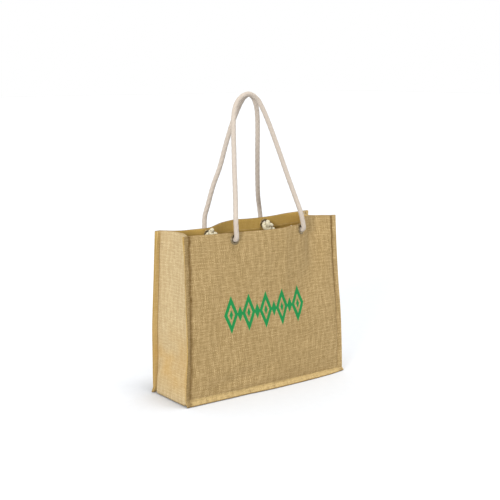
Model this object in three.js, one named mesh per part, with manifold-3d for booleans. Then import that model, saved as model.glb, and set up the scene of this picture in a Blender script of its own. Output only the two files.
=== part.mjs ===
// A jute tote bag that stands open on its base, with two cotton rope handles drawn up over its middle.
// Millimetres, +Z up. The front panel faces -Y. The origin is on the floor, under the middle of the cloth.
import * as THREE from 'three';
import Module from 'manifold-3d';
import { mergeVertices } from 'three/addons/utils/BufferGeometryUtils.js';

// Cloth
const CLOTH = 1.5; // one layer of jute
const HEM = 3.3; // the hem's two layers, folded to the inside
const HEM_DEPTH = 25; // from the top edge down to the hem's lower edge
const HEM_STEP = 6; // height over which the hem's thickness ends
const GAP = 0.3; // clearance between pieces that touch
const SEAM_GAP = 0.45; // between a panel and the gusset strip, whose faces bend together
const MARGIN = 11.5; // seam margin that stands outside the stitching
const STRIP_SHORT = 1.6; // how much narrower the gusset strip's margin is than the panel's
const LOWER_LIFT = 1.05; // height of the outer face's lowest line, with the cut edge behind it on the floor
const SHOULDER = 0.6; // how softly a panel rises to its full belly beside a seam: 0 is at once
const SHOULDER_CALM = 1.6; // how soon beside a seam a dent takes its full depth
const CROWN_SHIFT = 0.7; // how far down a panel its belly is fullest: under 1 is below the middle
const CROWN_ROUND = 1.1; // how softly the belly rises over the height
const CALM_TOP = 0.45; // share of a panel's height under which its top edge's waves have died out
const TOP_ROUND = 1.3; // how late those waves grow towards the top edge
const CALM_BOTTOM = 0.3; // share of its height over which its bottom seam's bow dies out
const DENT_RISE = 12; // one over the share of the height in which a dent begins above the bottom seam

// Eyelets
const EYELET_CELL = 12; // half width of the flat patch that an eyelet is pressed into
const EYELET_CELL_TOP = 2; // depth of the patch's upper edge under the top edge
const EYELET_FLANGE = 9.8; // outer radius
const EYELET_BARREL = 6.3; // outer radius of the barrel through the cloth
const EYELET_BORE = 5.4;
const EYELET_PROUD = 1.3; // flange thickness
const EYELET_ROLL = 0.45; // roll of the flange's edge and of the mouth
const EYELET_SIDES = 16;

// Rope
const ROPE = 9.6; // diameter over the strands
const STRANDS = 3;
const STRAND_POINTS = 3; // points of the section for each strand
const GROOVE = 0.12; // depth of the grooves between strands, as a share of the radius
const LAY = 38; // length of one full turn of the strands
const ROPE_STEP = 4.8;
const BEND = 5.4; // radius in which the rope turns up out of its eyelet
const BEND_STEPS = 5;
const BEND_LENGTH = 34; // length at each end that is divided twice as finely

// Stopper knots
const KNOT_STRAND = 4.5; // radius of the squeezed rope in the knot
const KNOT_LOOP = 4.6; // radius of the circle that the turns run around
const KNOT_SPREAD = 0.68; // how far the turns swing in and out, as a share of that radius
const KNOT_SWING = 6; // how far the turns swing along the rope
const KNOT_ROUND = 18; // faces around the knot
const KNOT_RISE = 11; // faces from end to end
const KNOT_TAIL = 18; // from the knot's middle to the cut end of the rope
const KNOT_TAIL_LEAN = 24; // degrees by which the cut end points away from the cloth
const EDGE_PARTS = 8; // places along each edge of a knot that are tried for where it bears

// How each knot sits: the way its cut end points around the rope, in degrees from +X, and how far its
// middle lies above the eyelet's.
const KNOTS = {
  front_left: { end: -70, rise: 0 },
  front_right: { end: -90, rise: -2 },
  back_left: { end: 108, rise: 0 },
  back_right: { end: -35, rise: -3 },
};

// Gusset strip
const GUSSET_STEPS = [0.07, 0.16, 0.3, 0.5, 0.7, 0.84, 0.93]; // shares of the way from front to back seam
const BASE_REACH = 11; // distance from a seam in which the base comes down to the floor
const SIDE_REACH = 42; // distance from a seam in which a side takes its full bulge
const SIDE_TURN = { from: 30, over: 60 }; // heights in which one reach passes into the other
const FOLD_OUT = 7.5; // the strip's fold at a bottom corner, past the seam's corner
const FOLD_WIDE = 3; // from that fold to where the base lies flat

// Grid lines of a panel: places across it at the top edge, outside and between the patches of its eyelets,
// and shares of its height under the hem.
const OUTER_LEFT = [-166, -142, -119];
const BETWEEN = [-56, -40, -22, -2, 18, 36, 54];
const OUTER_RIGHT = [107, 119, 138, 158];
const UP = [0.05, 0.105, 0.165, 0.23, 0.3, 0.38, 0.47, 0.57, 0.68, 0.79, 0.9];

// Each panel: its top edge and bottom seam from left to right, its side seams and how far the seam
// margins lean away from the bag in degrees, from the floor up, and its soft dents (inwards is +).
// out is the side of Y that it faces, and eyelets the places of its two eyelets across it.
const FRONT = {
  out: -1,
  belly: 8,
  eyelets: [-85.5, 84],
  topEdge: [
    { x: -187, y: -53, z: 325 },
    { x: -138, y: -56, z: 323.5 },
    { x: -87, y: -59, z: 322.5 },
    { x: -45, y: -62, z: 322 },
    { x: 0, y: -64, z: 321 },
    { x: 27, y: -65, z: 321 },
    { x: 50, y: -62.5, z: 322.5 },
    { x: 77, y: -58.5, z: 323.5 },
    { x: 95, y: -52, z: 328 },
    { x: 108, y: -42, z: 332 },
    { x: 120, y: -34.5, z: 333.5 },
    { x: 139, y: -33, z: 332.7 },
    { x: 155, y: -38.5, z: 332.5 },
    { x: 177, y: -43, z: 331 },
  ],
  bottomSeam: [
    { x: -191, y: -59, z: 13.3 },
    { x: -158, y: -60.5, z: 12.3 },
    { x: -52, y: -64, z: 12.2 },
    { x: 51, y: -64, z: 10.5 },
    { x: 160, y: -61, z: 8.7 },
    { x: 186, y: -60, z: 8.5 },
  ],
  bottomEdge: [
    { x: -200, y: -62.7 },
    { x: -134, y: -64.6 },
    { x: -60, y: -67 },
    { x: 8, y: -71 },
    { x: 90, y: -71 },
    { x: 156, y: -68.6 },
    { x: 202, y: -62.5 },
  ],
  leftSeam: [
    { z: 10, x: -190.9, y: -59, lean: 8 },
    { z: 46, x: -190.3, y: -60, lean: 11 },
    { z: 100, x: -189.5, y: -60.5, lean: 25 },
    { z: 148, x: -189, y: -60, lean: 22 },
    { z: 207, x: -188.3, y: -59, lean: 9 },
    { z: 265, x: -187.5, y: -56.5, lean: 6 },
    { z: 326, x: -187, y: -53, lean: 11 },
  ],
  rightSeam: [
    { z: 8, x: 186, y: -60, lean: 8 },
    { z: 71, x: 184.5, y: -60, lean: 2 },
    { z: 138, x: 181.3, y: -58, lean: 4 },
    { z: 193, x: 177.5, y: -55, lean: 4 },
    { z: 269, x: 174.7, y: -50, lean: 7 },
    { z: 331, x: 177, y: -43, lean: 8 },
  ],
  dents: [
    { x: 38, z: 250, turn: 88, long: 70, wide: 13, deep: -1.6 },
    { x: 108, z: 238, turn: 70, long: 62, wide: 30, deep: 2 },
    { x: -78, z: 34, turn: 12, long: 80, wide: 17, deep: 3 },
    { x: 66, z: 120, turn: 120, long: 60, wide: 22, deep: 2.2 },
    { x: -120, z: 180, turn: 80, long: 80, wide: 20, deep: 1.5 },
  ],
};
const BACK = {
  out: 1,
  belly: 7,
  eyelets: [-80, 80],
  topEdge: [
    { x: -181.5, y: 53, z: 322.5 },
    { x: -140, y: 47.5, z: 318.7 },
    { x: -108, y: 42.5, z: 319 },
    { x: -94, y: 39.5, z: 319.5 },
    { x: -76, y: 38.5, z: 319.7 },
    { x: -57, y: 44.5, z: 321.8 },
    { x: -37, y: 52, z: 324 },
    { x: -15, y: 58.5, z: 325 },
    { x: 5, y: 62, z: 325.7 },
    { x: 46, y: 60, z: 324.7 },
    { x: 97, y: 57.5, z: 325.5 },
    { x: 139, y: 58, z: 327.8 },
    { x: 186, y: 55, z: 329.5 },
  ],
  bottomSeam: [
    { x: -187, y: 58, z: 12 },
    { x: -90, y: 62, z: 12 },
    { x: 20, y: 64, z: 11 },
    { x: 130, y: 62, z: 11 },
    { x: 189, y: 58, z: 11 },
  ],
  bottomEdge: [
    { x: -199, y: 62.5 },
    { x: -90, y: 68 },
    { x: 20, y: 71 },
    { x: 130, y: 68 },
    { x: 201, y: 62.5 },
  ],
  leftSeam: [
    { z: 10, x: -187, y: 58, lean: 0 },
    { z: 70, x: -186.5, y: 58, lean: 4 },
    { z: 131, x: -186, y: 58, lean: 6 },
    { z: 178, x: -184.5, y: 57, lean: 6 },
    { z: 241, x: -183, y: 55, lean: 1 },
    { z: 323, x: -181.5, y: 53, lean: -8 },
  ],
  rightSeam: [
    { z: 10, x: 189, y: 58, lean: 3 },
    { z: 131, x: 188, y: 58.5, lean: 10 },
    { z: 240, x: 186, y: 57, lean: 8 },
    { z: 330, x: 186, y: 55, lean: 3 },
  ],
  dents: [
    { x: -84, z: 262, turn: 90, long: 55, wide: 30, deep: 5 },
    { x: 40, z: 170, turn: 65, long: 70, wide: 24, deep: 2.5 },
    { x: 90, z: 60, turn: 170, long: 70, wide: 18, deep: 2.2 },
  ],
};

// The gusset strip's two sides, down from the top: how far a side's middle stands out past the line
// between its seams, and how far it hangs below it.
const LEFT_SIDE = [
  { z: 330, out: -9, drop: -1.5 },
  { z: 300, out: -8, drop: 0 },
  { z: 240, out: -4, drop: 0 },
  { z: 150, out: -0.5, drop: 0 },
  { z: 92, out: -2.5, drop: 0 },
  { z: 70, out: 0.5, drop: 0 },
  { z: 45, out: 4.5, drop: 2 },
  { z: 25, out: 7, drop: 4 },
  { z: 12, out: 8, drop: 7 },
];
const RIGHT_SIDE = [
  { z: 330, out: -35, drop: 0 },
  { z: 300, out: -31, drop: 0 },
  { z: 270, out: -25, drop: 0 },
  { z: 230, out: -18, drop: 0 },
  { z: 190, out: -12, drop: 0 },
  { z: 145, out: -6, drop: 0 },
  { z: 100, out: 0, drop: 0 },
  { z: 50, out: 5, drop: 2 },
  { z: 25, out: 7, drop: 4 },
  { z: 8, out: 8, drop: 5 },
];
const SIDE_DENTS = [
  { side: -1, y: 0, z: 78, turn: 174, long: 60, wide: 9, deep: 3 },
  { side: -1, y: 14, z: 210, turn: 60, long: 60, wide: 22, deep: 1.6 },
  { side: 1, y: -6, z: 120, turn: 30, long: 55, wide: 14, deep: 2.5 },
];

// Routes of the handles between the bends at their eyelets, from the left eyelet to the right one.
const FRONT_ROUTE = [
  [-86.5, -64.5, 345], [-79, -54, 379], [-74, -46, 410], [-69, -37.5, 442], [-64, -30, 472], [-57.5, -20, 513],
  [-50.5, -12.7, 544], [-40, -8.6, 564], [-25.5, -7.2, 575.5], [-9, -7, 579.3], [9.6, -8, 569.8],
  [20.8, -11.5, 551], [33.8, -20, 514], [47.4, -31.1, 466], [60.7, -42.9, 416], [70.9, -52.5, 378],
  [78, -61.5, 347],
];
const BACK_ROUTE = [
  [-76.5, 49, 340], [-70.5, 47, 362], [-61, 41.5, 401], [-49.5, 34.5, 438], [-41.5, 24.5, 484], [-34, 15.8, 521],
  [-27, 10.8, 543], [-19, 8, 561], [-10, 7.2, 573], [1, 7, 578], [11, 7.3, 573], [20, 8.7, 558],
  [26.5, 12.3, 538], [33, 19.3, 508], [40.5, 29, 467], [51, 42, 415], [63, 55, 369], [74, 64.5, 345],
];

// Finishes
const PANEL_JUTE = { color: 0xb89c6c, roughness: 0.95, metalness: 0 };
const GUSSET_JUTE = { color: 0xcdb285, roughness: 0.95, metalness: 0 };
const COTTON = { color: 0xded6c8, roughness: 0.9, metalness: 0 };
const METAL = { color: 0xa9a9a4, roughness: 0.3, metalness: 1 };

const wasm = await Module();
wasm.setup();

const mix = (a, b, share) => a + (b - a) * share;
const ease = (value) => {
  const t = Math.min(Math.max(value, 0), 1);
  return t * t * (3 - 2 * t);
};
const radians = THREE.MathUtils.degToRad;

// Smooth value of one column of a table, between its rows, which rise or fall in the column "by".
function follow(rows, by, column, value) {
  const rising = rows.at(-1)[by] > rows[0][by];
  const ordered = rising ? rows : [...rows].reverse();
  const last = ordered.length - 1;
  const at = Math.min(Math.max(value, ordered[0][by]), ordered[last][by]);
  let i = 0;
  while (i < last - 1 && at > ordered[i + 1][by]) i += 1;
  const slope = (k) => {
    const before = ordered[Math.max(k - 1, 0)];
    const after = ordered[Math.min(k + 1, last)];
    return (after[column] - before[column]) / (after[by] - before[by]);
  };
  const span = ordered[i + 1][by] - ordered[i][by];
  const t = (at - ordered[i][by]) / span;
  const [start, end] = [ordered[i][column], ordered[i + 1][column]];
  return (
    start * (2 * t ** 3 - 3 * t ** 2 + 1) +
    slope(i) * span * (t ** 3 - 2 * t ** 2 + t) +
    end * (3 * t ** 2 - 2 * t ** 3) +
    slope(i + 1) * span * (t ** 3 - t ** 2)
  );
}

// Depth of a list of soft troughs at a place on a wall, across and up it.
function dentDepth(dents, across, up) {
  let depth = 0;
  for (const dent of dents) {
    const [u, v] = [across - (dent.x ?? dent.y), up - dent.z];
    const [c, s] = [Math.cos(radians(dent.turn)), Math.sin(radians(dent.turn))];
    const along = (u * c + v * s) / dent.long;
    const beside = (v * c - u * s) / dent.wide;
    depth += dent.deep * Math.exp(-(along ** 2) - beside ** 2);
  }
  return depth;
}

// A point of a panel's outer face. share runs from the left seam to the right one.
// depth is measured down from the top edge, or else rise is a share of the height under the hem.
function panelPoint(panel, share, { depth, rise }) {
  const xTop = mix(panel.topEdge[0].x, panel.topEdge.at(-1).x, share);
  const xBottom = mix(panel.bottomSeam[0].x, panel.bottomSeam.at(-1).x, share);
  const zTop = follow(panel.topEdge, 'x', 'z', xTop);
  const zBottom = follow(panel.bottomSeam, 'x', 'z', xBottom);
  const z = depth === undefined ? mix(zBottom, zTop - HEM_DEPTH - HEM_STEP, rise) : zTop - depth;
  const height = (z - zBottom) / (zTop - zBottom);
  const seam = (column, level) =>
    mix(follow(panel.leftSeam, 'z', column, level), follow(panel.rightSeam, 'z', column, level), share);
  const atTop = follow(panel.topEdge, 'x', 'y', xTop) - seam('y', zTop);
  const atBottom = follow(panel.bottomSeam, 'x', 'y', xBottom) - seam('y', zBottom);
  const shoulder = Math.sin(Math.PI * share) ** SHOULDER;
  const crown = Math.sin(Math.PI * Math.min(height, 1) ** CROWN_SHIFT) ** CROWN_ROUND;
  const x = seam('x', z);
  const calm = Math.min(shoulder * SHOULDER_CALM, 1) * ease(height * DENT_RISE);
  const inwards = dentDepth(panel.dents, x, z) * calm;
  const y =
    seam('y', z) +
    atTop * ease((height - CALM_TOP) / (1 - CALM_TOP)) ** TOP_ROUND +
    atBottom * ease(1 - height / CALM_BOTTOM) +
    panel.out * (panel.belly * shoulder * crown - inwards);
  return new THREE.Vector3(x, y, z);
}

// The outer edge of a panel's margin beside the point of its side seam at one height.
function marginPoint(panel, side, seamPoint) {
  const rows = side < 0 ? panel.leftSeam : panel.rightSeam;
  const lean = radians(follow(rows, 'z', 'lean', seamPoint.z));
  const step = new THREE.Vector3(side * Math.cos(lean), panel.out * Math.sin(lean), 0);
  return seamPoint.clone().addScaledVector(step, MARGIN);
}

// The lower edge of a panel's margin, under a point of its bottom seam.
function lowerEdge(panel, x) {
  return new THREE.Vector3(x, follow(panel.bottomEdge, 'x', 'y', x), LOWER_LIFT);
}

// The outer face of a panel as rows of points from its lower edge to its top edge.
function panelGrid(panel) {
  const patch = (x) => [x - EYELET_CELL, x + EYELET_CELL];
  const [left, right] = panel.eyelets.map(patch);
  const inside = [...OUTER_LEFT, ...left, ...BETWEEN, ...right, ...OUTER_RIGHT];
  const xs = [panel.topEdge[0].x, ...inside, panel.topEdge.at(-1).x];
  const shares = xs.map((x) => (x - xs[0]) / (xs.at(-1) - xs[0]));
  const levels = [
    { rise: 0 },
    ...UP.map((rise) => ({ rise })),
    { depth: HEM_DEPTH + HEM_STEP },
    { depth: HEM_DEPTH },
    { depth: EYELET_CELL_TOP },
    { depth: 0 },
  ];
  const rows = levels.map((level) => {
    const row = shares.map((share) => panelPoint(panel, share, level));
    return [marginPoint(panel, -1, row[0]), ...row, marginPoint(panel, 1, row.at(-1))];
  });
  const lower = rows[0].map((point) => lowerEdge(panel, point.x));
  lower[0].x = panel.bottomEdge[0].x;
  lower.at(-1).x = panel.bottomEdge.at(-1).x;
  const thickness = [CLOTH, ...levels.map(({ depth }) => (depth <= HEM_DEPTH ? HEM : CLOTH))];
  return { points: [lower, ...rows], thickness };
}

// Unit normals of a grid at each point, on the side that (along the row) x (up the rows) points to,
// with the length that keeps an offset face at the same distance on both sides of a fold.
function gridNormals(points, flip) {
  const [high, wide] = [points.length, points[0].length];
  const faces = [];
  for (let j = 0; j < high - 1; j += 1) {
    faces.push([]);
    for (let i = 0; i < wide - 1; i += 1) {
      const rise = points[j + 1][i + 1].clone().sub(points[j][i]);
      const fall = points[j + 1][i].clone().sub(points[j][i + 1]);
      faces[j].push(rise.cross(fall).normalize().multiplyScalar(flip));
    }
  }
  return points.map((row, j) =>
    row.map((_, i) => {
      const near = [];
      for (const a of [j - 1, j]) {
        for (const b of [i - 1, i]) {
          if (faces[a]?.[b]?.lengthSq() > 0.5) near.push(faces[a][b]);
        }
      }
      const normal = near.reduce((sum, face) => sum.add(face), new THREE.Vector3()).normalize();
      const facing = near.reduce((sum, face) => sum + face.dot(normal), 0) / near.length;
      return normal.multiplyScalar(1 / Math.max(facing, 0.6));
    }),
  );
}

// A closed geometry between two grids of the same size. The first faces the side that its
// (along the row) x (up the rows) points to. Cells that crossed(row, column) names are split the other way.
function sheetBetween(face, back, crossed = () => false) {
  const [high, wide] = [face.length, face[0].length];
  const positions = [...face, ...back].flat().flatMap((point) => point.toArray());
  const index = [];
  const at = (sheet, j, i) => (sheet * high + j) * wide + i;
  const quad = (a, b, c, d) => index.push(a, b, c, a, c, d);
  for (let j = 0; j < high - 1; j += 1) {
    for (let i = 0; i < wide - 1; i += 1) {
      const shift = crossed(j, i) ? 1 : 0;
      for (const sheet of [0, 1]) {
        const corners = [at(sheet, j, i), at(sheet, j, i + 1), at(sheet, j + 1, i + 1), at(sheet, j + 1, i)];
        const ring = sheet === 0 ? corners : [corners[0], corners[3], corners[2], corners[1]];
        quad(...ring.slice(shift), ...ring.slice(0, shift));
      }
    }
  }
  for (let i = 0; i < wide - 1; i += 1) {
    quad(at(1, 0, i), at(1, 0, i + 1), at(0, 0, i + 1), at(0, 0, i));
    quad(at(0, high - 1, i), at(0, high - 1, i + 1), at(1, high - 1, i + 1), at(1, high - 1, i));
  }
  for (let j = 0; j < high - 1; j += 1) {
    quad(at(0, j, 0), at(0, j + 1, 0), at(1, j + 1, 0), at(1, j, 0));
    quad(at(1, j, wide - 1), at(1, j + 1, wide - 1), at(0, j + 1, wide - 1), at(0, j, wide - 1));
  }
  return closedGeometry(positions, index);
}

// A geometry of positions and faces, with equal points merged and faces without area dropped.
function closedGeometry(positions, index) {
  const raw = new THREE.BufferGeometry();
  raw.setAttribute('position', new THREE.Float32BufferAttribute(positions, 3));
  raw.setIndex(index);
  const merged = mergeVertices(raw, 1e-4);
  const kept = [];
  const faces = merged.index.array;
  for (let k = 0; k < faces.length; k += 3) {
    const [a, b, c] = [faces[k], faces[k + 1], faces[k + 2]];
    if (a !== b && b !== c && c !== a) kept.push(a, b, c);
  }
  merged.setIndex(kept);
  return merged;
}

function toManifold(geometry) {
  const plain = mergeVertices(new THREE.BufferGeometry()
    .setAttribute('position', geometry.attributes.position.clone())
    .setIndex(geometry.index ? [...geometry.index.array] : null), 1e-4);
  return new wasm.Manifold(new wasm.Mesh({
    numProp: 3,
    vertProperties: new Float32Array(plain.attributes.position.array),
    triVerts: new Uint32Array(plain.index.array),
  }));
}

function fromManifold(solid) {
  const { vertProperties, triVerts } = solid.getMesh();
  const geometry = new THREE.BufferGeometry();
  geometry.setAttribute('position', new THREE.BufferAttribute(Float32Array.from(vertProperties), 3));
  geometry.setIndex([...triVerts]);
  return geometry;
}

// A grid moved along its normals by a distance for each of its rows, and kept above the floor.
function offset(points, normals, distances) {
  return points.map((row, j) =>
    row.map((point, i) => {
      const moved = point.clone().addScaledVector(normals[j][i], distances[j]);
      return moved.setZ(Math.max(moved.z, 0));
    }),
  );
}

// Presses the patch around an eyelet flat, and gives the eyelet's middle and its outward axis.
function pressPatch(points, normals, panel, side) {
  const top = points.length - 2;
  const left = 2 + OUTER_LEFT.length + (side < 0 ? 0 : 2 + BETWEEN.length);
  const corners = [[top - 1, left], [top - 1, left + 1], [top, left + 1], [top, left]];
  const [a, b, c, d] = corners.map(([j, i]) => points[j][i]);
  const middle = a.clone().add(b).add(c).add(d).multiplyScalar(0.25);
  const axis = c.clone().sub(a).cross(d.clone().sub(b)).normalize();
  if (axis.y * panel.out < 0) axis.negate();
  for (const [j, i] of corners) {
    const off = points[j][i].clone().sub(middle).dot(axis);
    points[j][i].addScaledVector(axis, -off);
    normals[j][i] = axis.clone();
  }
  return { middle, axis };
}

// Turns a geometry made around +Z so that +Z lies along an axis, and moves it to a place.
function placeAlong(geometry, middle, axis) {
  const turn = new THREE.Quaternion().setFromUnitVectors(new THREE.Vector3(0, 0, 1), axis);
  return geometry.applyQuaternion(turn).translate(middle.x, middle.y, middle.z);
}

function discAlong(radius, length, middle, axis) {
  const disc = new THREE.CylinderGeometry(radius, radius, length, EYELET_SIDES).rotateX(Math.PI / 2);
  return placeAlong(disc, middle, axis);
}

// A panel: its closed cloth with the eyelet holes, its grids, and where its eyelets go.
function makePanel(panel) {
  const { points, thickness } = panelGrid(panel);
  const normals = gridNormals(points, -panel.out);
  const eyelets = [-1, 1].map((side) => pressPatch(points, normals, panel, side));
  const inner = offset(points, normals, thickness.map((layer) => -layer));
  const cloth = panel.out < 0 ? sheetBetween(points, inner) : sheetBetween(inner, points);
  let solid = toManifold(cloth);
  for (const { middle, axis } of eyelets) {
    solid = solid.subtract(toManifold(discAlong(EYELET_BARREL + GAP, 4 * HEM, middle, axis)));
  }
  return { geometry: fromManifold(solid), points, normals, thickness, eyelets };
}

// Points of the strip's inner face against a panel's margin, and its seam, at one grid point.
function stripEdge(panel, seamRow, seamColumn, tipRow, tipColumn) {
  const behind = (j, i) =>
    panel.points[j][i].clone().addScaledVector(panel.normals[j][i], -panel.thickness[j] - SEAM_GAP);
  const seam = behind(seamRow, seamColumn);
  const tip = behind(tipRow, tipColumn);
  const shortened = tip.lerp(seam, STRIP_SHORT / MARGIN);
  return { seam, tip: shortened };
}

// One cross section of the gusset strip, from the front margin's edge to the back margin's.
// place(middle) gives, for a point between the seams, where the cloth's full bulge would take it.
function stripSection(front, back, reach, place) {
  const depth = front.seam.distanceTo(back.seam);
  const between = GUSSET_STEPS.map((share) => {
    const middle = front.seam.clone().lerp(back.seam, share);
    const edge = Math.min(share, 1 - share) * depth;
    const full = 1 - (1 - Math.min(edge / reach, 1)) ** 2;
    return middle.clone().lerp(place(middle), full);
  });
  return [front.tip, front.seam, ...between, back.seam, back.tip];
}

// The gusset strip: down the left side, along the base and up the right side.
function makeStrip(front, back) {
  const rows = front.points.length;
  const columns = front.points[0].length;
  const sections = [];
  const layers = [];
  const section = (place, reach, ...edge) => {
    sections.push(stripSection(stripEdge(front, ...edge), stripEdge(back, ...edge), reach, place));
    layers.push(front.thickness[edge[0]]);
  };
  const sidePlace = (side, table, hem) => (middle) => {
    const out = follow(table, 'z', 'out', middle.z) - hem;
    const dents = SIDE_DENTS.filter((dent) => dent.side === side);
    const depth = dentDepth(dents, middle.y, middle.z);
    const drop = follow(table, 'z', 'drop', middle.z);
    return new THREE.Vector3(middle.x + side * (out - depth), middle.y, middle.z - drop);
  };
  const walkSide = (side, table, column, margin, order) => {
    for (const j of order) {
      const hem = front.thickness[j] - CLOTH;
      const high = ease((front.points[j][column].z - SIDE_TURN.from) / SIDE_TURN.over);
      const reach = mix(BASE_REACH, SIDE_REACH, high);
      section(sidePlace(side, table, hem), reach, j, column, j, margin);
    }
  };
  const down = [...Array(rows - 1).keys()].map((k) => rows - 1 - k);
  const fold = (side) => (middle) =>
    new THREE.Vector3(middle.x + side * FOLD_OUT, middle.y, 2 * CLOTH);
  const floor = (side, past) => (middle) => new THREE.Vector3(middle.x + side * past, middle.y, CLOTH);
  walkSide(-1, LEFT_SIDE, 1, 0, down);
  section(fold(-1), BASE_REACH, 1, 1, 0, 0);
  section(floor(-1, FOLD_OUT - FOLD_WIDE), BASE_REACH, 1, 1, 0, 1);
  for (let i = 2; i < columns - 2; i += 1) section(floor(0, 0), BASE_REACH, 1, i, 0, i);
  const last = columns - 2;
  section(floor(1, FOLD_OUT - FOLD_WIDE), BASE_REACH, 1, last, 0, last);
  section(fold(1), BASE_REACH, 1, last, 0, last + 1);
  walkSide(1, RIGHT_SIDE, last, last + 1, [...down].reverse());
  const normals = gridNormals(sections, 1);
  const outer = offset(sections, normals, layers);
  const [lastSection, lastColumn] = [sections.length - 1, sections[0].length - 2];
  const onBase = (k) => k > rows - 1 && k < lastSection - rows;
  return sheetBetween(outer, sections, (k, i) => i === (onBase(k) ? lastColumn : 0));
}

// A pressed metal ring with a flange on each face of the hem and a barrel through it.
function makeEyelet({ middle, axis }) {
  const [front, back] = [GAP, -HEM - GAP];
  const profile = [
    [EYELET_BORE, back - EYELET_PROUD + EYELET_ROLL],
    [EYELET_BORE + EYELET_ROLL, back - EYELET_PROUD],
    [EYELET_FLANGE - 2 * EYELET_ROLL, back - EYELET_PROUD + EYELET_ROLL],
    [EYELET_FLANGE - EYELET_ROLL, back],
    [EYELET_BARREL, back],
    [EYELET_BARREL, front],
    [EYELET_FLANGE, front],
    [EYELET_FLANGE - EYELET_ROLL, front + EYELET_PROUD - EYELET_ROLL],
    [(EYELET_BORE + EYELET_FLANGE) / 2, front + EYELET_PROUD],
    [EYELET_BORE, front + EYELET_PROUD - 2 * EYELET_ROLL],
  ].map(([radius, height]) => new THREE.Vector2(radius, height));
  profile.push(profile[0].clone());
  const ring = new THREE.LatheGeometry(profile, EYELET_SIDES);
  ring.deleteAttribute('normal');
  ring.deleteAttribute('uv');
  ring.rotateX(Math.PI / 2);
  const positions = [...ring.attributes.position.array];
  return placeAlong(closedGeometry(positions, [...ring.index.array]), middle, axis);
}

// The rope's centre line: straight out of one eyelet, up in a bend, over the top and back down.
// The rope ends inside the eyelets, on top of its knots, whose tops are heights over the cloth's face.
function ropeLine(eyelets, route, tops) {
  const bend = ({ middle, axis }, toward, knotTop) => {
    const lift = toward.clone().sub(middle);
    lift.addScaledVector(axis, -lift.dot(axis)).normalize();
    const start = middle.clone().addScaledVector(axis, EYELET_PROUD + GAP);
    const points = [middle.clone().addScaledVector(axis, knotTop + GAP)];
    for (let k = 0; k <= BEND_STEPS; k += 1) {
      const angle = (k / BEND_STEPS) * (Math.PI / 2);
      points.push(start.clone()
        .addScaledVector(axis, BEND * Math.sin(angle))
        .addScaledVector(lift, BEND * (1 - Math.cos(angle))));
    }
    return points;
  };
  const points = route.map((point) => new THREE.Vector3(...point));
  return new THREE.CatmullRomCurve3([
    ...bend(eyelets[0], points[0], tops[0]),
    ...points,
    ...bend(eyelets[1], points.at(-1), tops[1]).reverse(),
  ], false, 'centripetal');
}

// A laid rope along a line: a section with a lobe for each strand, turning once in each lay.
function makeRope(line) {
  const steps = Math.ceil(line.getLength() / ROPE_STEP);
  line.arcLengthDivisions = 4 * steps;
  line.updateArcLengths();
  const around = STRANDS * STRAND_POINTS;
  const positions = [];
  const index = [];
  let tangent = line.getTangentAt(0);
  let across = new THREE.Vector3(0, 0, 1).cross(tangent).normalize();
  const marks = ropeMarks(line, steps);
  marks.forEach((share, k) => {
    const next = line.getTangentAt(share);
    const turn = new THREE.Quaternion().setFromUnitVectors(tangent, next);
    across = across.applyQuaternion(turn);
    tangent = next;
    const upward = tangent.clone().cross(across);
    const centre = line.getPointAt(share);
    const twist = (2 * Math.PI * share * line.getLength()) / LAY;
    for (let i = 0; i < around; i += 1) {
      const angle = (2 * Math.PI * i) / around;
      const lobe = 1 - GROOVE * (0.5 - 0.5 * Math.cos(STRANDS * angle));
      const radius = (ROPE / 2) * lobe;
      positions.push(...centre.clone()
        .addScaledVector(across, radius * Math.cos(angle + twist))
        .addScaledVector(upward, radius * Math.sin(angle + twist))
        .toArray());
      const [a, b] = [k * around + i, k * around + ((i + 1) % around)];
      if (k > 0) index.push(a - around, b - around, b, a - around, b, a);
    }
  });
  const ends = [line.getPointAt(0), line.getPointAt(1)];
  ends.forEach((end, which) => {
    positions.push(...end.toArray());
    const hub = marks.length * around + which;
    const first = which === 0 ? 0 : (marks.length - 1) * around;
    for (let i = 0; i < around; i += 1) {
      const [a, b] = [first + i, first + ((i + 1) % around)];
      index.push(...(which === 0 ? [hub, b, a] : [hub, a, b]));
    }
  });
  return closedGeometry(positions, index);
}

// Places of the rope's sections as shares of its length, twice as close in the bends at its ends.
function ropeMarks(line, steps) {
  const near = BEND_LENGTH / line.getLength();
  const marks = [];
  for (let k = 0; k <= steps; k += 1) {
    const share = k / steps;
    marks.push(share);
    if (k < steps && (share < near || share > 1 - near - 1 / steps)) marks.push(share + 0.5 / steps);
  }
  return marks;
}

// The centre line of the turns in a stopper knot, around +Z, with its cut end towards +X.
function knotTurns() {
  const turns = [];
  const count = 60;
  for (let k = 0; k < count; k += 1) {
    const t = (2 * Math.PI * k) / count;
    const ring = KNOT_LOOP * (1 + KNOT_SPREAD * Math.cos(3 * t));
    turns.push(new THREE.Vector3(
      ring * Math.cos(2 * t),
      ring * Math.sin(2 * t),
      KNOT_SWING * Math.sin(3 * t),
    ));
  }
  const lean = radians(KNOT_TAIL_LEAN);
  const tail = new THREE.Vector3(Math.cos(lean), 0, -Math.sin(lean));
  for (let k = 2; k <= 8; k += 1) {
    turns.push(tail.clone().multiplyScalar(((KNOT_TAIL - KNOT_STRAND) * k) / 8));
  }
  return turns;
}

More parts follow.
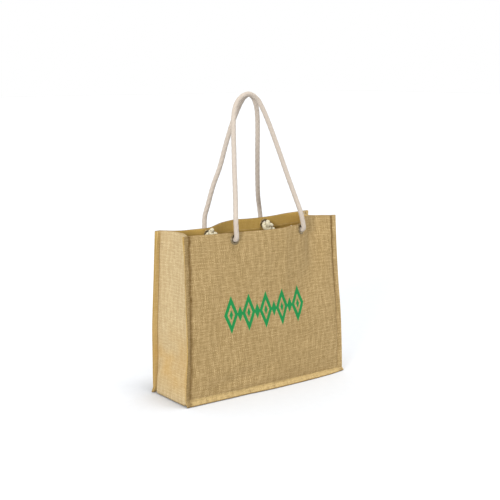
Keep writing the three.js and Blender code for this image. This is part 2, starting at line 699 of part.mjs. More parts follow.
// The highest point of a geometry, and the highest place on its edges outside an eyelet's bore around +Z.
function heights(geometry) {
  let [bearing, top] = [-Infinity, -Infinity];
  const corners = geometry.index.array;
  const corner = (k) => new THREE.Vector3().fromBufferAttribute(geometry.attributes.position, corners[k]);
  for (let k = 0; k < corners.length; k += 1) {
    const [start, end] = [corner(k), corner(k % 3 === 2 ? k - 2 : k + 1)];
    for (let part = 0; part < EDGE_PARTS; part += 1) {
      const place = start.clone().lerp(end, part / EDGE_PARTS);
      top = Math.max(top, place.z);
      if (Math.hypot(place.x, place.y) > EYELET_BORE - GAP) bearing = Math.max(bearing, place.z);
    }
  }
  return { bearing, top };
}

// A stopper knot drawn tight: every direction from its middle reaches out to the outermost turn.
// It is seated so that it bears on the eyelet's inner flange, and gives the height of its top over the
// cloth's face, towards the rope.
function makeKnot({ end, rise }, { middle, axis }) {
  const turns = knotTurns();
  const reach = (direction) => {
    let far = KNOT_STRAND;
    for (const turn of turns) {
      const along = turn.dot(direction);
      const beside = KNOT_STRAND ** 2 - (turn.lengthSq() - along ** 2);
      if (beside > 0) far = Math.max(far, along + Math.sqrt(beside));
    }
    return far;
  };
  const positions = [];
  const index = [];
  for (let j = 0; j <= KNOT_RISE; j += 1) {
    for (let i = 0; i < KNOT_ROUND; i += 1) {
      const [polar, turn] = [(Math.PI * j) / KNOT_RISE, (2 * Math.PI * i) / KNOT_ROUND];
      const direction = new THREE.Vector3().setFromSphericalCoords(1, polar, turn);
      if (j === 0 || j === KNOT_RISE) direction.set(0, Math.cos(polar), 0);
      positions.push(...direction.clone().multiplyScalar(reach(direction)).toArray());
      const [a, b] = [j * KNOT_ROUND + i, j * KNOT_ROUND + ((i + 1) % KNOT_ROUND)];
      if (j > 0) index.push(a, b, b - KNOT_ROUND, a, b - KNOT_ROUND, a - KNOT_ROUND);
    }
  }
  const knot = closedGeometry(positions, index).rotateX(Math.PI / 2);
  const up = new THREE.Vector3(0, 0, 1).addScaledVector(axis, -axis.z).normalize();
  const across = up.clone().cross(axis).normalize();
  const turn = new THREE.Matrix4().makeBasis(across, up, axis);
  const roll = radians(axis.y < 0 ? end : 180 - end);
  knot.rotateZ(roll).translate(0, rise, 0);
  const { top, bearing } = heights(knot);
  const seat = -HEM - 2 * GAP - EYELET_PROUD - bearing;
  knot.translate(0, 0, seat).applyMatrix4(turn).translate(middle.x, middle.y, middle.z);
  return { geometry: knot, top: top + seat };
}

const bag = new THREE.Group();
function add(name, geometry, finish) {
  const mesh = new THREE.Mesh(geometry, new THREE.MeshStandardMaterial(finish));
  mesh.name = name;
  bag.add(mesh);
}

const front = makePanel(FRONT);
const back = makePanel(BACK);
add('front_panel', front.geometry, PANEL_JUTE);
add('back_panel', back.geometry, PANEL_JUTE);
add('gusset_strip', makeStrip(front, back), GUSSET_JUTE);
for (const [face, panel, route] of [['front', front, FRONT_ROUTE], ['back', back, BACK_ROUTE]]) {
  const knots = ['left', 'right'].map((side, k) => makeKnot(KNOTS[`${face}_${side}`], panel.eyelets[k]));
  add(`handle_${face}`, makeRope(ropeLine(panel.eyelets, route, knots.map(({ top }) => top))), COTTON);
  ['left', 'right'].forEach((side, k) => {
    add(`eyelet_${face}_${side}`, makeEyelet(panel.eyelets[k]), METAL);
    add(`knot_${face}_${side}`, knots[k].geometry, COTTON);
  });
}

export default bag;
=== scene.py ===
"""A jute tote bag that stands open on its base, with two cotton rope handles drawn up over its middle.

Metres, +Z up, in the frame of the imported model. The front panel faces -Y.
"""

import math

import bpy
import numpy as np
from mathutils import Matrix, Vector


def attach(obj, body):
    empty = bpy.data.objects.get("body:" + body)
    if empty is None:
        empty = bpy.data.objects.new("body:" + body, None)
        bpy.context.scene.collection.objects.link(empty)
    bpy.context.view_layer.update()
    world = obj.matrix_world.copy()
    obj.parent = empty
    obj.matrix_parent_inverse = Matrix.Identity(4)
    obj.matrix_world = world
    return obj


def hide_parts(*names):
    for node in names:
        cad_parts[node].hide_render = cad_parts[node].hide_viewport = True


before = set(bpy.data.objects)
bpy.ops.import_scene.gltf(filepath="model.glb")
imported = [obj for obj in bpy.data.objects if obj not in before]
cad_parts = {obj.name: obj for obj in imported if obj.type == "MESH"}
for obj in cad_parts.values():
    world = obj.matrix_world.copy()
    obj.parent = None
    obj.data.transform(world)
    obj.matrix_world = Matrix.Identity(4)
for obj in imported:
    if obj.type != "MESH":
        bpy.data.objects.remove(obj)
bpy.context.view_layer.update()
rng = np.random.default_rng(7)

# Camera, at the photograph's viewing angle
CAMERA_PLACE = (-1.2465, -1.574, 0.624)
CAMERA_TARGET = (-0.0015, 0.0, 0.2715)
SENSOR = 36
FOCAL_PIXELS = 1022
IMAGE_PIXELS = 500

# Cloth
CLOTH = 0.0015  # one layer of jute
HEM = 0.0033  # the hem's two layers, folded to the inside
HEM_DEPTH = 0.025  # from the top edge down to the hem's lower edge
HEM_STEP = 0.0006  # height over which the hem's thickness ends
HEM_FADE = 0.06  # depth over which it ends in the margins, where it is sewn down
HEM_SIDE_CELLS = 3  # cells beside a side seam in which the hem's step begins
ROUND_TURNS = (15, 35, 60, 90)  # degrees at which the rounded top edge has rows
SEAM_GAP = 0.00045  # between a panel's margin and the gusset strip's
MARGIN = 0.0115  # seam margin that stands outside the stitching
STRIP_SHORT = 0.0016  # how much narrower the gusset strip's margin is than the panel's
LOWER_LIFT = 0.00105  # height of the lower margins' outer edge
SHOULDER = 0.6  # how softly a panel rises to its full belly beside a seam
SHOULDER_CALM = 1.6  # how soon beside a seam a dent takes its full depth
CROWN_SHIFT = 0.7  # how far down a panel its belly is fullest
CROWN_ROUND = 1.1  # how softly the belly rises over the height
CALM_TOP = 0.45  # share of a panel's height under which its top edge's waves have died out
TOP_ROUND = 1.3  # how late those waves grow towards the top edge
CALM_BOTTOM = 0.3  # share of its height over which its bottom seam's bow dies out
DENT_RISE = 12  # one over the share of the height in which a dent begins above the bottom seam
PANEL_WIDE = 0.374
PANEL_HIGH = 0.325
CELL = 0.0025  # spacing of the cloth's mesh
MARGIN_CELLS = 5
FOLD_FACING = 0.6  # an offset grows at a fold to its own size over this at most
SHARP = 30  # degrees from which an edge is shown sharp
PINCH = 0.0008  # depth of the groove that the stitches draw in along the side seams
LOW_PINCH = 0.0003  # the same along the bottom seams
PINCH_WIDE = 0.0022
RIPPLE = 0.00028  # height of the cloth's small waves
RIPPLE_WAVES = 14
RIPPLE_PACE = (70, 190)  # the waves' turn in a metre, in radians
RIPPLE_FROM_SEAM = 0.012  # distance from a seam in which they begin
RIPPLE_FROM_TOP = 0.01

# Eyelets
EYELET_CELL = 0.012  # half width of the patch whose corners place an eyelet
EYELET_CELL_TOP = 0.002
EYELET_FLANGE = 0.0098
EYELET_BARREL = 0.0063
EYELET_BORE = 0.0054
EYELET_PROUD = 0.0013
EYELET_SIDES = 64
ROLL_STEPS = 13
ROLL_FULL = 0.7  # under 1, the rolled flange is fuller than half round
GAP = 0.0003  # clearance between pieces that touch
PRESS_FLAT = 0.0105  # radius that an eyelet presses flat
PRESS_FADE = 0.008
HOLE = 0.0073  # radius of the hole that the cloth has for it
HOLE_REACH = 0.01  # how far off the eyelet's plane cloth is cut
PRESS_REACH = 0.03  # how far off it cloth is pressed

# Rope
ROPE = 0.0096  # diameter over the strands
STRANDS = 3
GROOVE = 0.075  # depth of the grooves between strands, as a share of the radius
LAY = 0.038  # length of one full turn of the strands
ROPE_AROUND = 30
ROPE_STEP = 0.0015
BEND = 0.0054  # radius in which the rope turns up out of its eyelet
BEND_STEPS = 5
ROUTE_STEPS = 40  # between two points of a route

# Stopper knots
KNOT_STRAND = 0.0045
KNOT_LOOP = 0.0046
KNOT_SPREAD = 0.68
KNOT_SWING = 0.006
KNOT_STEPS = 160
KNOT_GROOVE = 0.16
KNOT_LAY = 0.8 * LAY
KNOT_AROUND = 24
KNOT_TAIL = (0.003, 0.0162)  # from the knot's middle to where its cut end begins and ends
KNOT_TAIL_STEPS = 16
KNOT_TAIL_END = 0.82  # radius of the cut end, as a share of the strand's
KNOT_TAIL_LEAN = 24  # degrees by which the cut end points away from the cloth

# How each knot sits: the way its cut end points around the rope, in degrees from +X, and how far its
# middle lies above the eyelet's.
KNOTS = {
    "front_left": (-70, 0),
    "front_right": (-90, -0.002),
    "back_left": (108, 0),
    "back_right": (-35, -0.003),
}

# Gusset strip
GUSSET_CELLS = 48
STRIP_SHIFT = 0.9  # where it begins in the weave, across it
CORNER_CELLS = 4
BASE_FROM = 3  # cells from a seam at which the flat base begins
BASE_REACH = 0.011  # distance from a seam in which the base comes down to the floor
SIDE_REACH = 0.042  # distance from a seam in which a side takes its full bulge
SIDE_TURN_FROM = 0.03  # height from which one reach passes into the other
SIDE_TURN_OVER = 0.06
FOLD_OUT = 0.0075  # the strip's fold at a bottom corner, past the seam's corner
FOLD_WIDE = 0.003  # from that fold to where the base lies flat
STRIP_RIPPLE = 1.2  # its small waves, as a share of the panels'
STRIP_RIPPLE_CELLS = 5  # cells beside a seam in which they begin
STRIP_RIPPLE_FROM = 0.012  # height above which they begin
STRIP_RIPPLE_OVER = 0.03

# Painted shade, and pale edges that are partly wear and partly painted highlight, where 1 is full
SHADE_WANDER = 0.0012  # how far the painted shade beside a side seam wanders
SHADE_PACES = ((60, 80), (130, 170))
EDGE_ROWS = 3  # rows of the mesh at a folded top edge
# how dark the folded top edge is made
TOP_EDGE_DARK = 0.5
INNER_SHADE = 0.35  # the painted shade on the strip's inner face, as a share of its outer one
LOW_HIGHLIGHT = 0.7  # painted highlight on the margins under the panels, where they catch the light
STRIP_GOLDEN = 0.6
# painted shade in the groove along the strip's seams
STRIP_SEAM_SHADE = 0.8
# how pale the strip's cut edges are, partly wear and partly painted highlight
STRIP_EDGE_WEAR_AND_LIGHT = 0.3
STRIP_MARGIN_SHADE = (0.4, 0.06)  # painted shade on the strip's margins at the front and the back
STRIP_LOW = 0.006  # height under which the strip gets painted shade where it meets the floor

# Weave, in pitches and in shares of a yarn's height where a value isn't a length. A tone is from 0 to 1.
YARN_PITCH = 0.0023
YARN_WANDER = (0.0016, 0.0012)  # how far yarns wander from their places, across and up the cloth
WANDER_SCALE = 60
YARN_HALF = (0.31, 0.30)  # half a yarn's width, and how much wider the palest yarn is
YARN_ROUND = 0.75
YARN_WAVE = 0.45
YARN_SUNK = 0.2
YARN_STEPS = (5.37, 3.71)  # from one yarn to the next in the noise of its quick and of its slow tone
FIBRE_PACES = (9.0, 1.3)  # how fine the fibres are across and along a yarn
FIBRE_RISE = 0.22
FIBRE_TONE = 0.35
PALER_SCALE = 13  # noise that moves the paler yarns, and how far it does in radians
PALER_MOVE = 14.0
PALER_MEAN = 0.4
# Warp and weft: how fast a yarn's tone changes along it for each yarn that it crosses, the share of a part
# that changes more slowly, and the paler yarns, as their spacing in yarns and how much paler they are
WARP = (0.13, 0.3, 6.1, 0.13)
WEFT = (0.2, 0.1, 2.6, 0.23)
EVEN_DRIFT = 0.05
WEFT_TONE = 0.75  # how uneven the weft is, as a share of the warp, and its mean tone
WEFT_MEAN = 0.66
TONES = (0.44, 1.04)  # yarn tones that are fully dark and fully pale
GAP_HEIGHTS = (-0.25, 0.42)  # heights that are fully gap, with painted shade, and fully yarn

# Patches on the jute: the scale of their noise, its values that are without and full, or else the slope
# and start of their amount, and how strong they are
DRIFT_SCALE = 9.0
DRIFT = (0.5, -0.16)
FLECK_SCALE = 420.0
FLECKS = (0.68, 0.80)
FLECK = 0.3
# how strong the golden tone and the painted warm glow of the inner faces are
GOLDEN_GLOW_AMOUNT = 0.7
WARM_HEIGHTS = (0.0, 0.05, 0.17)  # where warm patches begin, are full and end
WARM_SCALE = 16.0
WARM_PATCHES = (0.3, 0.6)
PATCH_SCALE = 130.0
# patches in the painted shade along the seams
SHADE_PATCHES = (0.9, 0.35)
# patches and strength of the pale cut edges and lower margins, partly wear and partly painted highlight
WEAR_AND_LIGHT_PATCHES = (0.2, 0.6)
WEAR_AND_LIGHT = 0.4

# Cotton, thread and metal. Yarns are counted around a rope and in a metre of it.
COTTON_YARNS = (21.0, 560.0)
COTTON_FIBRES = (90.0, 900.0)
COTTON_GROOVES = (-1.0, -0.2)  # values of the yarns' wave that are groove, with painted shade, and yarn
COTTON_RISE = 0.35
CLOUD_SCALE = 30.0
CLOUDS = 0.4
THREAD_YARNS = (1.0, 1400.0)
THREAD_FIBRES = 2500.0
METAL_MARKS = 1600.0
METAL_ROUGHNESS = (0.25, 0.22)  # what the marks add, and the least
GRIME_SCALE = 240.0
GRIME_PATCHES = (0.45, 0.75)
GRIME = 0.55

# Colours: pale, dark and the painted shade between the yarns for jute, dull, bright and the painted shade
# in the grooves for cotton
PANEL_TONES = ("b69d71", "897249", "5a4321")
# the gusset's paler tones are painted light, for the same jute where it faces the key light
LIT_GUSSET_TONES = ("c6b48e", "a58e67", "79603a")
ROPE_TONES = ("ada297", "c9bdaf", "90867a")
# the knots are the rope's own ends; their warmer, yellower tones are painted warm light from inside the bag
WARM_LIT_KNOT_TONES = ("c6bea4", "dbd4bc", "a09677")
THREAD_TONES = ("9c8354", "c2aa78")
# thread in the side seams' grooves, darkened as painted shade
SHADED_THREAD_TONES = ("7d623a", "a3885a")
# the eyelets' metal and its grime, both darkened as painted shade
SHADED_METAL_TONES = ("8d7e62", "453a24")
FIBRE_TONES = ("b3935a", "e3cf9f")
FLOOR_TONES = ("cbcdd0", "cfd1d4")
# dark tone of the painted shade along the seams and where the cloth meets the floor
SHADE_TONE = "4c3206"
WARM = "b08a48"
# golden tone of the strip's margins, and painted warm glow on the inner faces
GOLDEN_GLOW_TONE = "ba984b"
# pale tone of the cut edges and lower margins, partly wear and partly painted highlight
WORN_AND_LIT_TONE = "dcc287"
INK = "037a3f"

# Band of lozenges on the front panel
BAND_PLACE = (-0.009, 0.165)  # its middle, from the middle of the panel's lower edge
BAND_STEP = 0.042
BAND_WIDE = 0.017
BAND_TALL = 0.039
BAND_SMALL = 0.42  # size of the small lozenges, as a share of the large ones
BAND_WINDOW = (0.3, 0.56)  # the bare ring in a large one, as shares of its size
BAND_REACH = (2.5, 2.25)  # steps from the middle in which there are large ones and small ones
BAND_EDGE_SCALE = 900.0
BAND_UNEVEN = 0.10
INK_COVER = (0.76, 0.22)  # how well the ink covers low yarns, and how much better high ones
INK_HEIGHTS = (-0.1, 0.5)  # heights that are low and high

# Thread and loose fibres
STITCH_PITCH = 0.0042
STITCH_LONG = 0.0031
STITCH_THICK = 0.0007
STITCH_BESIDE = 0.0014
STITCH_UNEVEN = 0.0001
STITCH_POINTS = 6
STITCH_AROUND = 6
STITCH_ARCH = 0.75  # its rise and how deep its ends lie, in thicknesses
STITCH_SUNK = 0.35
FRINGE_COUNT = 900  # in a metre
FRINGE_FROM = 0.001
FRINGE_LONG = 0.0016
FRINGE_SHARES = (0.3, 1.0)  # of that length
FRINGE_SPREAD = 0.55
FRINGE_THICK = 0.00009
FRINGE_ROOT = 0.0004
FRINGE_LOWEST = 0.0002

# Room. A light has the way that it comes from, its strength and its apparent size in degrees.
SKY = 1.0
FLOOR_SIZE = 40
FLOOR_DROP = -0.0003
LIGHTS = [
    ("key", (-0.80, -0.50, 0.20), 2.2, 14),
    ("top", (0.08, -0.20, 1.0), 1.8, 22),
    ("right", (0.90, 0.0, 0.45), 0.4, 30),
]


def table(names, rows):
    """The columns of a table by name."""
    return dict(zip(names.split(), np.array(rows, float).T))


# Each panel: the way it faces along Y, how far it bulges, where its eyelets are, its top edge and bottom
# seam from left to right, its side seams and how far the seam margins lean away from the bag in degrees,
# and its soft dents (inwards is +). The entry for painted shade has a row for the left and for the right
# side seam: how dark the painted shade in the seam's groove is low down and at the top, how far that
# reaches, and how dark the margin is painted where it faces away from the light. The entry for the cut
# edges gives how pale the left and right cut edges are, partly wear and partly painted highlight.
FRONT = {
    "out": -1,
    "belly": 0.008,
    "eyelets": (-0.0855, 0.084),
    "soil": ((0.8, 1.0, 0.0034, 0.24), (0.0, 1.3, 0.0016, 0.0)),
    "worn_and_lit": (0.1, 0.8),
    "top_edge": table("x y z", [
        (-0.187, -0.053, 0.325), (-0.138, -0.056, 0.3235), (-0.087, -0.059, 0.3225),
        (-0.045, -0.062, 0.322), (0.0, -0.064, 0.321), (0.027, -0.065, 0.321), (0.05, -0.0625, 0.3225),
        (0.077, -0.0585, 0.3235), (0.095, -0.052, 0.328), (0.108, -0.042, 0.332),
        (0.12, -0.0345, 0.3335), (0.139, -0.033, 0.3327), (0.155, -0.0385, 0.3325),
        (0.177, -0.043, 0.331),
    ]),
    "bottom_seam": table("x y z", [
        (-0.191, -0.059, 0.0133), (-0.158, -0.0605, 0.0123), (-0.052, -0.064, 0.0122),
        (0.051, -0.064, 0.0105), (0.16, -0.061, 0.0087), (0.186, -0.06, 0.0085),
    ]),
    "bottom_edge": table("x y", [
        (-0.2, -0.0627), (-0.134, -0.0646), (-0.06, -0.067), (0.008, -0.071), (0.09, -0.071),
        (0.156, -0.0686), (0.202, -0.0625),
    ]),
    "left_seam": table("z x y lean", [
        (0.01, -0.1909, -0.059, 8), (0.046, -0.1903, -0.06, 11), (0.1, -0.1895, -0.0605, 25),
        (0.148, -0.189, -0.06, 22), (0.207, -0.1883, -0.059, 9), (0.265, -0.1875, -0.0565, 6),
        (0.326, -0.187, -0.053, 11),
    ]),
    "right_seam": table("z x y lean", [
        (0.008, 0.186, -0.06, 8), (0.071, 0.1845, -0.06, 2), (0.138, 0.1813, -0.058, 4),
        (0.193, 0.1775, -0.055, 4), (0.269, 0.1747, -0.05, 7), (0.331, 0.177, -0.043, 8),
    ]),
    "dents": table("x z turn long wide deep", [
        (0.038, 0.25, 88, 0.07, 0.013, -0.0016), (0.108, 0.238, 70, 0.062, 0.03, 0.002),
        (-0.078, 0.034, 12, 0.08, 0.017, 0.003), (0.066, 0.12, 120, 0.06, 0.022, 0.0022),
        (-0.12, 0.18, 80, 0.08, 0.02, 0.0015),
    ]),
}
BACK = {
    "out": 1,
    "belly": 0.007,
    "eyelets": (-0.08, 0.08),
    "soil": ((0.7, 0.7, 0.0018, 0.05), (0.7, 0.7, 0.0025, 0.1)),
    "worn_and_lit": (0.2, 0.8),
    "top_edge": table("x y z", [
        (-0.1815, 0.053, 0.3225), (-0.14, 0.0475, 0.3187), (-0.108, 0.0425, 0.319),
        (-0.094, 0.0395, 0.3195), (-0.076, 0.0385, 0.3197), (-0.057, 0.0445, 0.3218),
        (-0.037, 0.052, 0.324), (-0.015, 0.0585, 0.325), (0.005, 0.062, 0.3257), (0.046, 0.06, 0.3247),
        (0.097, 0.0575, 0.3255), (0.139, 0.058, 0.3278), (0.186, 0.055, 0.3295),
    ]),
    "bottom_seam": table("x y z", [
        (-0.187, 0.058, 0.012), (-0.09, 0.062, 0.012), (0.02, 0.064, 0.011), (0.13, 0.062, 0.011),
        (0.189, 0.058, 0.011),
    ]),
    "bottom_edge": table("x y", [
        (-0.199, 0.0625), (-0.09, 0.068), (0.02, 0.071), (0.13, 0.068), (0.201, 0.0625),
    ]),
    "left_seam": table("z x y lean", [
        (0.01, -0.187, 0.058, 0), (0.07, -0.1865, 0.058, 4), (0.131, -0.186, 0.058, 6),
        (0.178, -0.1845, 0.057, 6), (0.241, -0.183, 0.055, 1), (0.323, -0.1815, 0.053, -8),
    ]),
    "right_seam": table("z x y lean", [
        (0.01, 0.189, 0.058, 3), (0.131, 0.188, 0.0585, 10), (0.24, 0.186, 0.057, 8),
        (0.33, 0.186, 0.055, 3),
    ]),
    "dents": table("x z turn long wide deep", [
        (-0.084, 0.262, 90, 0.055, 0.03, 0.005), (0.04, 0.17, 65, 0.07, 0.024, 0.0025),
        (0.09, 0.06, 170, 0.07, 0.018, 0.0022),
    ]),
}
LEFT_SIDE = table("z out drop", [
    (0.33, -0.009, -0.0015), (0.3, -0.008, 0.0), (0.24, -0.004, 0.0), (0.15, -0.0005, 0.0),
    (0.092, -0.0025, 0.0), (0.07, 0.0005, 0.0), (0.045, 0.0045, 0.002), (0.025, 0.007, 0.004),
    (0.012, 0.008, 0.007),
])
RIGHT_SIDE = table("z out drop", [
    (0.33, -0.035, 0.0), (0.3, -0.031, 0.0), (0.27, -0.025, 0.0), (0.23, -0.018, 0.0),
    (0.19, -0.012, 0.0), (0.145, -0.006, 0.0), (0.1, 0.0, 0.0), (0.05, 0.005, 0.002),
    (0.025, 0.007, 0.004), (0.008, 0.008, 0.005),
])
SIDE_DENTS = table("side y z turn long wide deep", [
    (-1, 0.0, 0.078, 174, 0.06, 0.009, 0.003), (-1, 0.014, 0.21, 60, 0.06, 0.022, 0.0016),
    (1, -0.006, 0.12, 30, 0.055, 0.014, 0.0025),
])
FRONT_ROUTE = [
    (-0.0865, -0.0645, 0.345), (-0.079, -0.054, 0.379), (-0.074, -0.046, 0.41),
    (-0.069, -0.0375, 0.442), (-0.064, -0.03, 0.472), (-0.0575, -0.02, 0.513),
    (-0.0505, -0.0127, 0.544), (-0.04, -0.0086, 0.564), (-0.0255, -0.0072, 0.5755),
    (-0.009, -0.007, 0.5793), (0.0096, -0.008, 0.5698), (0.0208, -0.0115, 0.551),
    (0.0338, -0.02, 0.514), (0.0474, -0.0311, 0.466), (0.0607, -0.0429, 0.416),
    (0.0709, -0.0525, 0.378), (0.078, -0.0615, 0.347),
]
BACK_ROUTE = [
    (-0.0765, 0.049, 0.34), (-0.0705, 0.047, 0.362), (-0.061, 0.0415, 0.401), (-0.0495, 0.0345, 0.438),
    (-0.0415, 0.0245, 0.484), (-0.034, 0.0158, 0.521), (-0.027, 0.0108, 0.543), (-0.019, 0.008, 0.561),
    (-0.01, 0.0072, 0.573), (0.001, 0.007, 0.578), (0.011, 0.0073, 0.573), (0.02, 0.0087, 0.558),
    (0.0265, 0.0123, 0.538), (0.033, 0.0193, 0.508), (0.0405, 0.029, 0.467), (0.051, 0.042, 0.415),
    (0.063, 0.055, 0.369), (0.074, 0.0645, 0.345),
]


def mix(a, b, share):
    return a + (b - a) * share


def ease(value):
    t = np.clip(value, 0, 1)
    return t * t * (3 - 2 * t)


def unit(vectors):
    return vectors / np.maximum(np.linalg.norm(vectors, axis=-1, keepdims=True), 1e-12)


def cubic(start, slope, end, end_slope, t):
    """Value of the cubic from one value to another, with a slope at each."""
    return (
        start * (2 * t**3 - 3 * t**2 + 1)
        + slope * (t**3 - 2 * t**2 + t)
        + end * (3 * t**2 - 2 * t**3)
        + end_slope * (t**3 - t**2)
    )


def follow(rows, by, column, value):
    """Smooth value of one column of a table, between its rows, at places in the column "by"."""
    order = np.argsort(rows[by])
    places, values = rows[by][order], rows[column][order]
    steep = np.diff(values) / np.diff(places)
    middle = (values[2:] - values[:-2]) / (places[2:] - places[:-2])
    slopes = np.concatenate([steep[:1], middle, steep[-1:]])
    at = np.clip(value, places[0], places[-1])
    i = np.clip(np.searchsorted(places, at) - 1, 0, len(places) - 2)
    span = places[i + 1] - places[i]
    return cubic(values[i], slopes[i] * span, values[i + 1], slopes[i + 1] * span, (at - places[i]) / span)


def arc_along(line):
    """Distance of each point of a line from its first point."""
    return np.concatenate([[0], np.cumsum(np.linalg.norm(np.diff(line, axis=0), axis=1))])


def points_at(line, arc, marks):
    """Points of a line at distances along it."""
    return np.stack([np.interp(marks, arc, line[:, k]) for k in range(3)], axis=-1)


def dent_depth(dents, column, across, up, side=None):
    """Depth of a table of soft troughs at places on a wall, across and up it."""
    depth = np.zeros_like(across)
    for k in range(len(dents["z"])):
        if side is not None and dents["side"][k] != side:
            continue
        u, v = across - dents[column][k], up - dents["z"][k]
        turn = math.radians(dents["turn"][k])
        along = (u * math.cos(turn) + v * math.sin(turn)) / dents["long"][k]
        beside = (v * math.cos(turn) - u * math.sin(turn)) / dents["wide"][k]
        depth += dents["deep"][k] * np.exp(-(along**2) - beside**2)
    return depth


def panel_row(panel, share, rise=None, depth=None):
    """Points of a panel's outer face. share runs from the left seam to the right one.

    depth is measured down from the top edge, or else rise is a share of the height under the hem.
    """
    top, bottom = panel["top_edge"], panel["bottom_seam"]
    x_top = mix(top["x"][0], top["x"][-1], share)
    x_bottom = mix(bottom["x"][0], bottom["x"][-1], share)
    z_top = follow(top, "x", "z", x_top)
    z_bottom = follow(bottom, "x", "z", x_bottom)
    z = mix(z_bottom, z_top - HEM_DEPTH - HEM_STEP, rise) if depth is None else z_top - depth
    height = np.clip((z - z_bottom) / (z_top - z_bottom), 0, 1)

    def seam(column, level):
        left = follow(panel["left_seam"], "z", column, level)
        return mix(left, follow(panel["right_seam"], "z", column, level), share)

    at_top = follow(top, "x", "y", x_top) - seam("y", z_top)
    at_bottom = follow(bottom, "x", "y", x_bottom) - seam("y", z_bottom)
    shoulder = np.sin(np.pi * np.clip(share, 0, 1)) ** SHOULDER
    crown = np.maximum(np.sin(np.pi * height**CROWN_SHIFT), 0) ** CROWN_ROUND
    x = seam("x", z)
    calm = np.minimum(shoulder * SHOULDER_CALM, 1) * ease(height * DENT_RISE)
    inwards = dent_depth(panel["dents"], "x", x, z) * calm
    y = (
        seam("y", z)
        + at_top * ease((height - CALM_TOP) / (1 - CALM_TOP)) ** TOP_ROUND
        + at_bottom * ease(1 - height / CALM_BOTTOM)
        + panel["out"] * (panel["belly"] * shoulder * crown - inwards)
    )
    return np.stack([x, y, z], axis=-1)


def margin_edge(panel, side, seam_point):
    """The outer edge of a panel's margin beside a point of its side seam."""
    rows = panel["left_seam"] if side < 0 else panel["right_seam"]
    lean = math.radians(follow(rows, "z", "lean", seam_point[2]))
    step = np.array([side * math.cos(lean), panel["out"] * math.sin(lean), 0])
    return seam_point + MARGIN * step


def top_depths():
    """Depths of the hem's rows, from its step up to the rounded edge, with how far each is drawn in."""
    radius = HEM / 2
    below = np.linspace(HEM_DEPTH, radius, round(HEM_DEPTH / CELL))
    rounded = radius * (1 - np.sin(np.radians(ROUND_TURNS)))
    depths = np.concatenate([[HEM_DEPTH + HEM_STEP], below, rounded])
    inset = radius - np.sqrt(np.maximum(radius**2 - np.maximum(radius - depths, 0) ** 2, 0))
    return depths, inset


def lower_edge(panel, seam_row):
    """The lower edge of a panel's bottom margin, under the row of its bottom seam."""
    lower = seam_row.copy()
    edge = panel["bottom_edge"]
    first, last = MARGIN_CELLS, len(lower) - 1 - MARGIN_CELLS
    corners = [edge["x"][0], seam_row[first][0], seam_row[last][0], edge["x"][-1]]
    lower[:, 0] = np.interp(np.arange(len(lower)), [0, first, last, len(lower) - 1], corners)
    lower[first:-first, 0] = seam_row[first:-first, 0]
    lower[:, 1] = follow(edge, "x", "y", lower[:, 0])
    lower[:, 2] = LOWER_LIFT
    return lower


def panel_grid(panel):
    """A panel's outer face as rows of points from its lower edge up, and the cloth's thickness in each."""
    share = np.linspace(0, 1, round(PANEL_WIDE / CELL) + 1)
    rises = np.linspace(0, 1, round((PANEL_HIGH - HEM_DEPTH) / CELL))[:-1]
    depths, inset = top_depths()
    body = [panel_row(panel, share, rise=rise) for rise in rises]
    body += [panel_row(panel, share, depth=depth) for depth in depths]
    rows = []
    for row in body:
        left = np.linspace(margin_edge(panel, -1, row[0]), row[0], MARGIN_CELLS + 1)[:-1]
        right = np.linspace(row[-1], margin_edge(panel, 1, row[-1]), MARGIN_CELLS + 1)[1:]
        rows.append(np.concatenate([left, row, right]))
    lower = lower_edge(panel, rows[0])
    margin = [mix(lower, rows[0], k / MARGIN_CELLS) for k in range(MARGIN_CELLS)]
    points = np.array(margin + rows)
    drawn_in = np.concatenate([np.zeros(len(points) - len(inset)), inset])
    stepped = np.full(len(points), CLOTH)
    stepped[1 - len(depths) :] = HEM
    below_top = points[-1, :, 2].mean() - points[:, MARGIN_CELLS, 2]
    return points, hem_thickness(points.shape[1], stepped, below_top), drawn_in


def hem_thickness(wide, stepped, below_top):
    """Thickness at each point: stepped at the hem's lower edge, and fading down in the margins."""
    faded = mix(CLOTH, HEM, ease(1 - below_top / HEM_FADE))
    columns = np.arange(wide)
    inside = ease((np.minimum(columns, columns[::-1]) - MARGIN_CELLS) / HEM_SIDE_CELLS)
    return mix(faded[:, None], stepped[:, None], inside[None])


def grid_normals(points, flip):
    """Normals of a grid, longer at a fold so that an offset face keeps its distance on both sides."""
    rise = points[1:, 1:] - points[:-1, :-1]
    fall = points[1:, :-1] - points[:-1, 1:]
    faces = unit(np.cross(rise, fall)) * flip
    total = np.zeros(points.shape)
    count = np.zeros(points.shape[:2])
    corners = [(slice(a, a - 1 or None), slice(b, b - 1 or None)) for a in (0, 1) for b in (0, 1)]
    for corner in corners:
        total[corner] += faces
        count[corner] += 1
    normal = unit(total)
    facing = np.zeros(points.shape[:2])
    for corner in corners:
        facing[corner] += (faces * normal[corner]).sum(axis=-1)
    return normal / np.maximum(facing / count, FOLD_FACING)[..., None]


def cloth_arc(points):
    """Distances along a grid's middle row and up its middle column, from their first points."""
    return arc_along(points[len(points) // 2]), arc_along(points[:, points.shape[1] // 2])


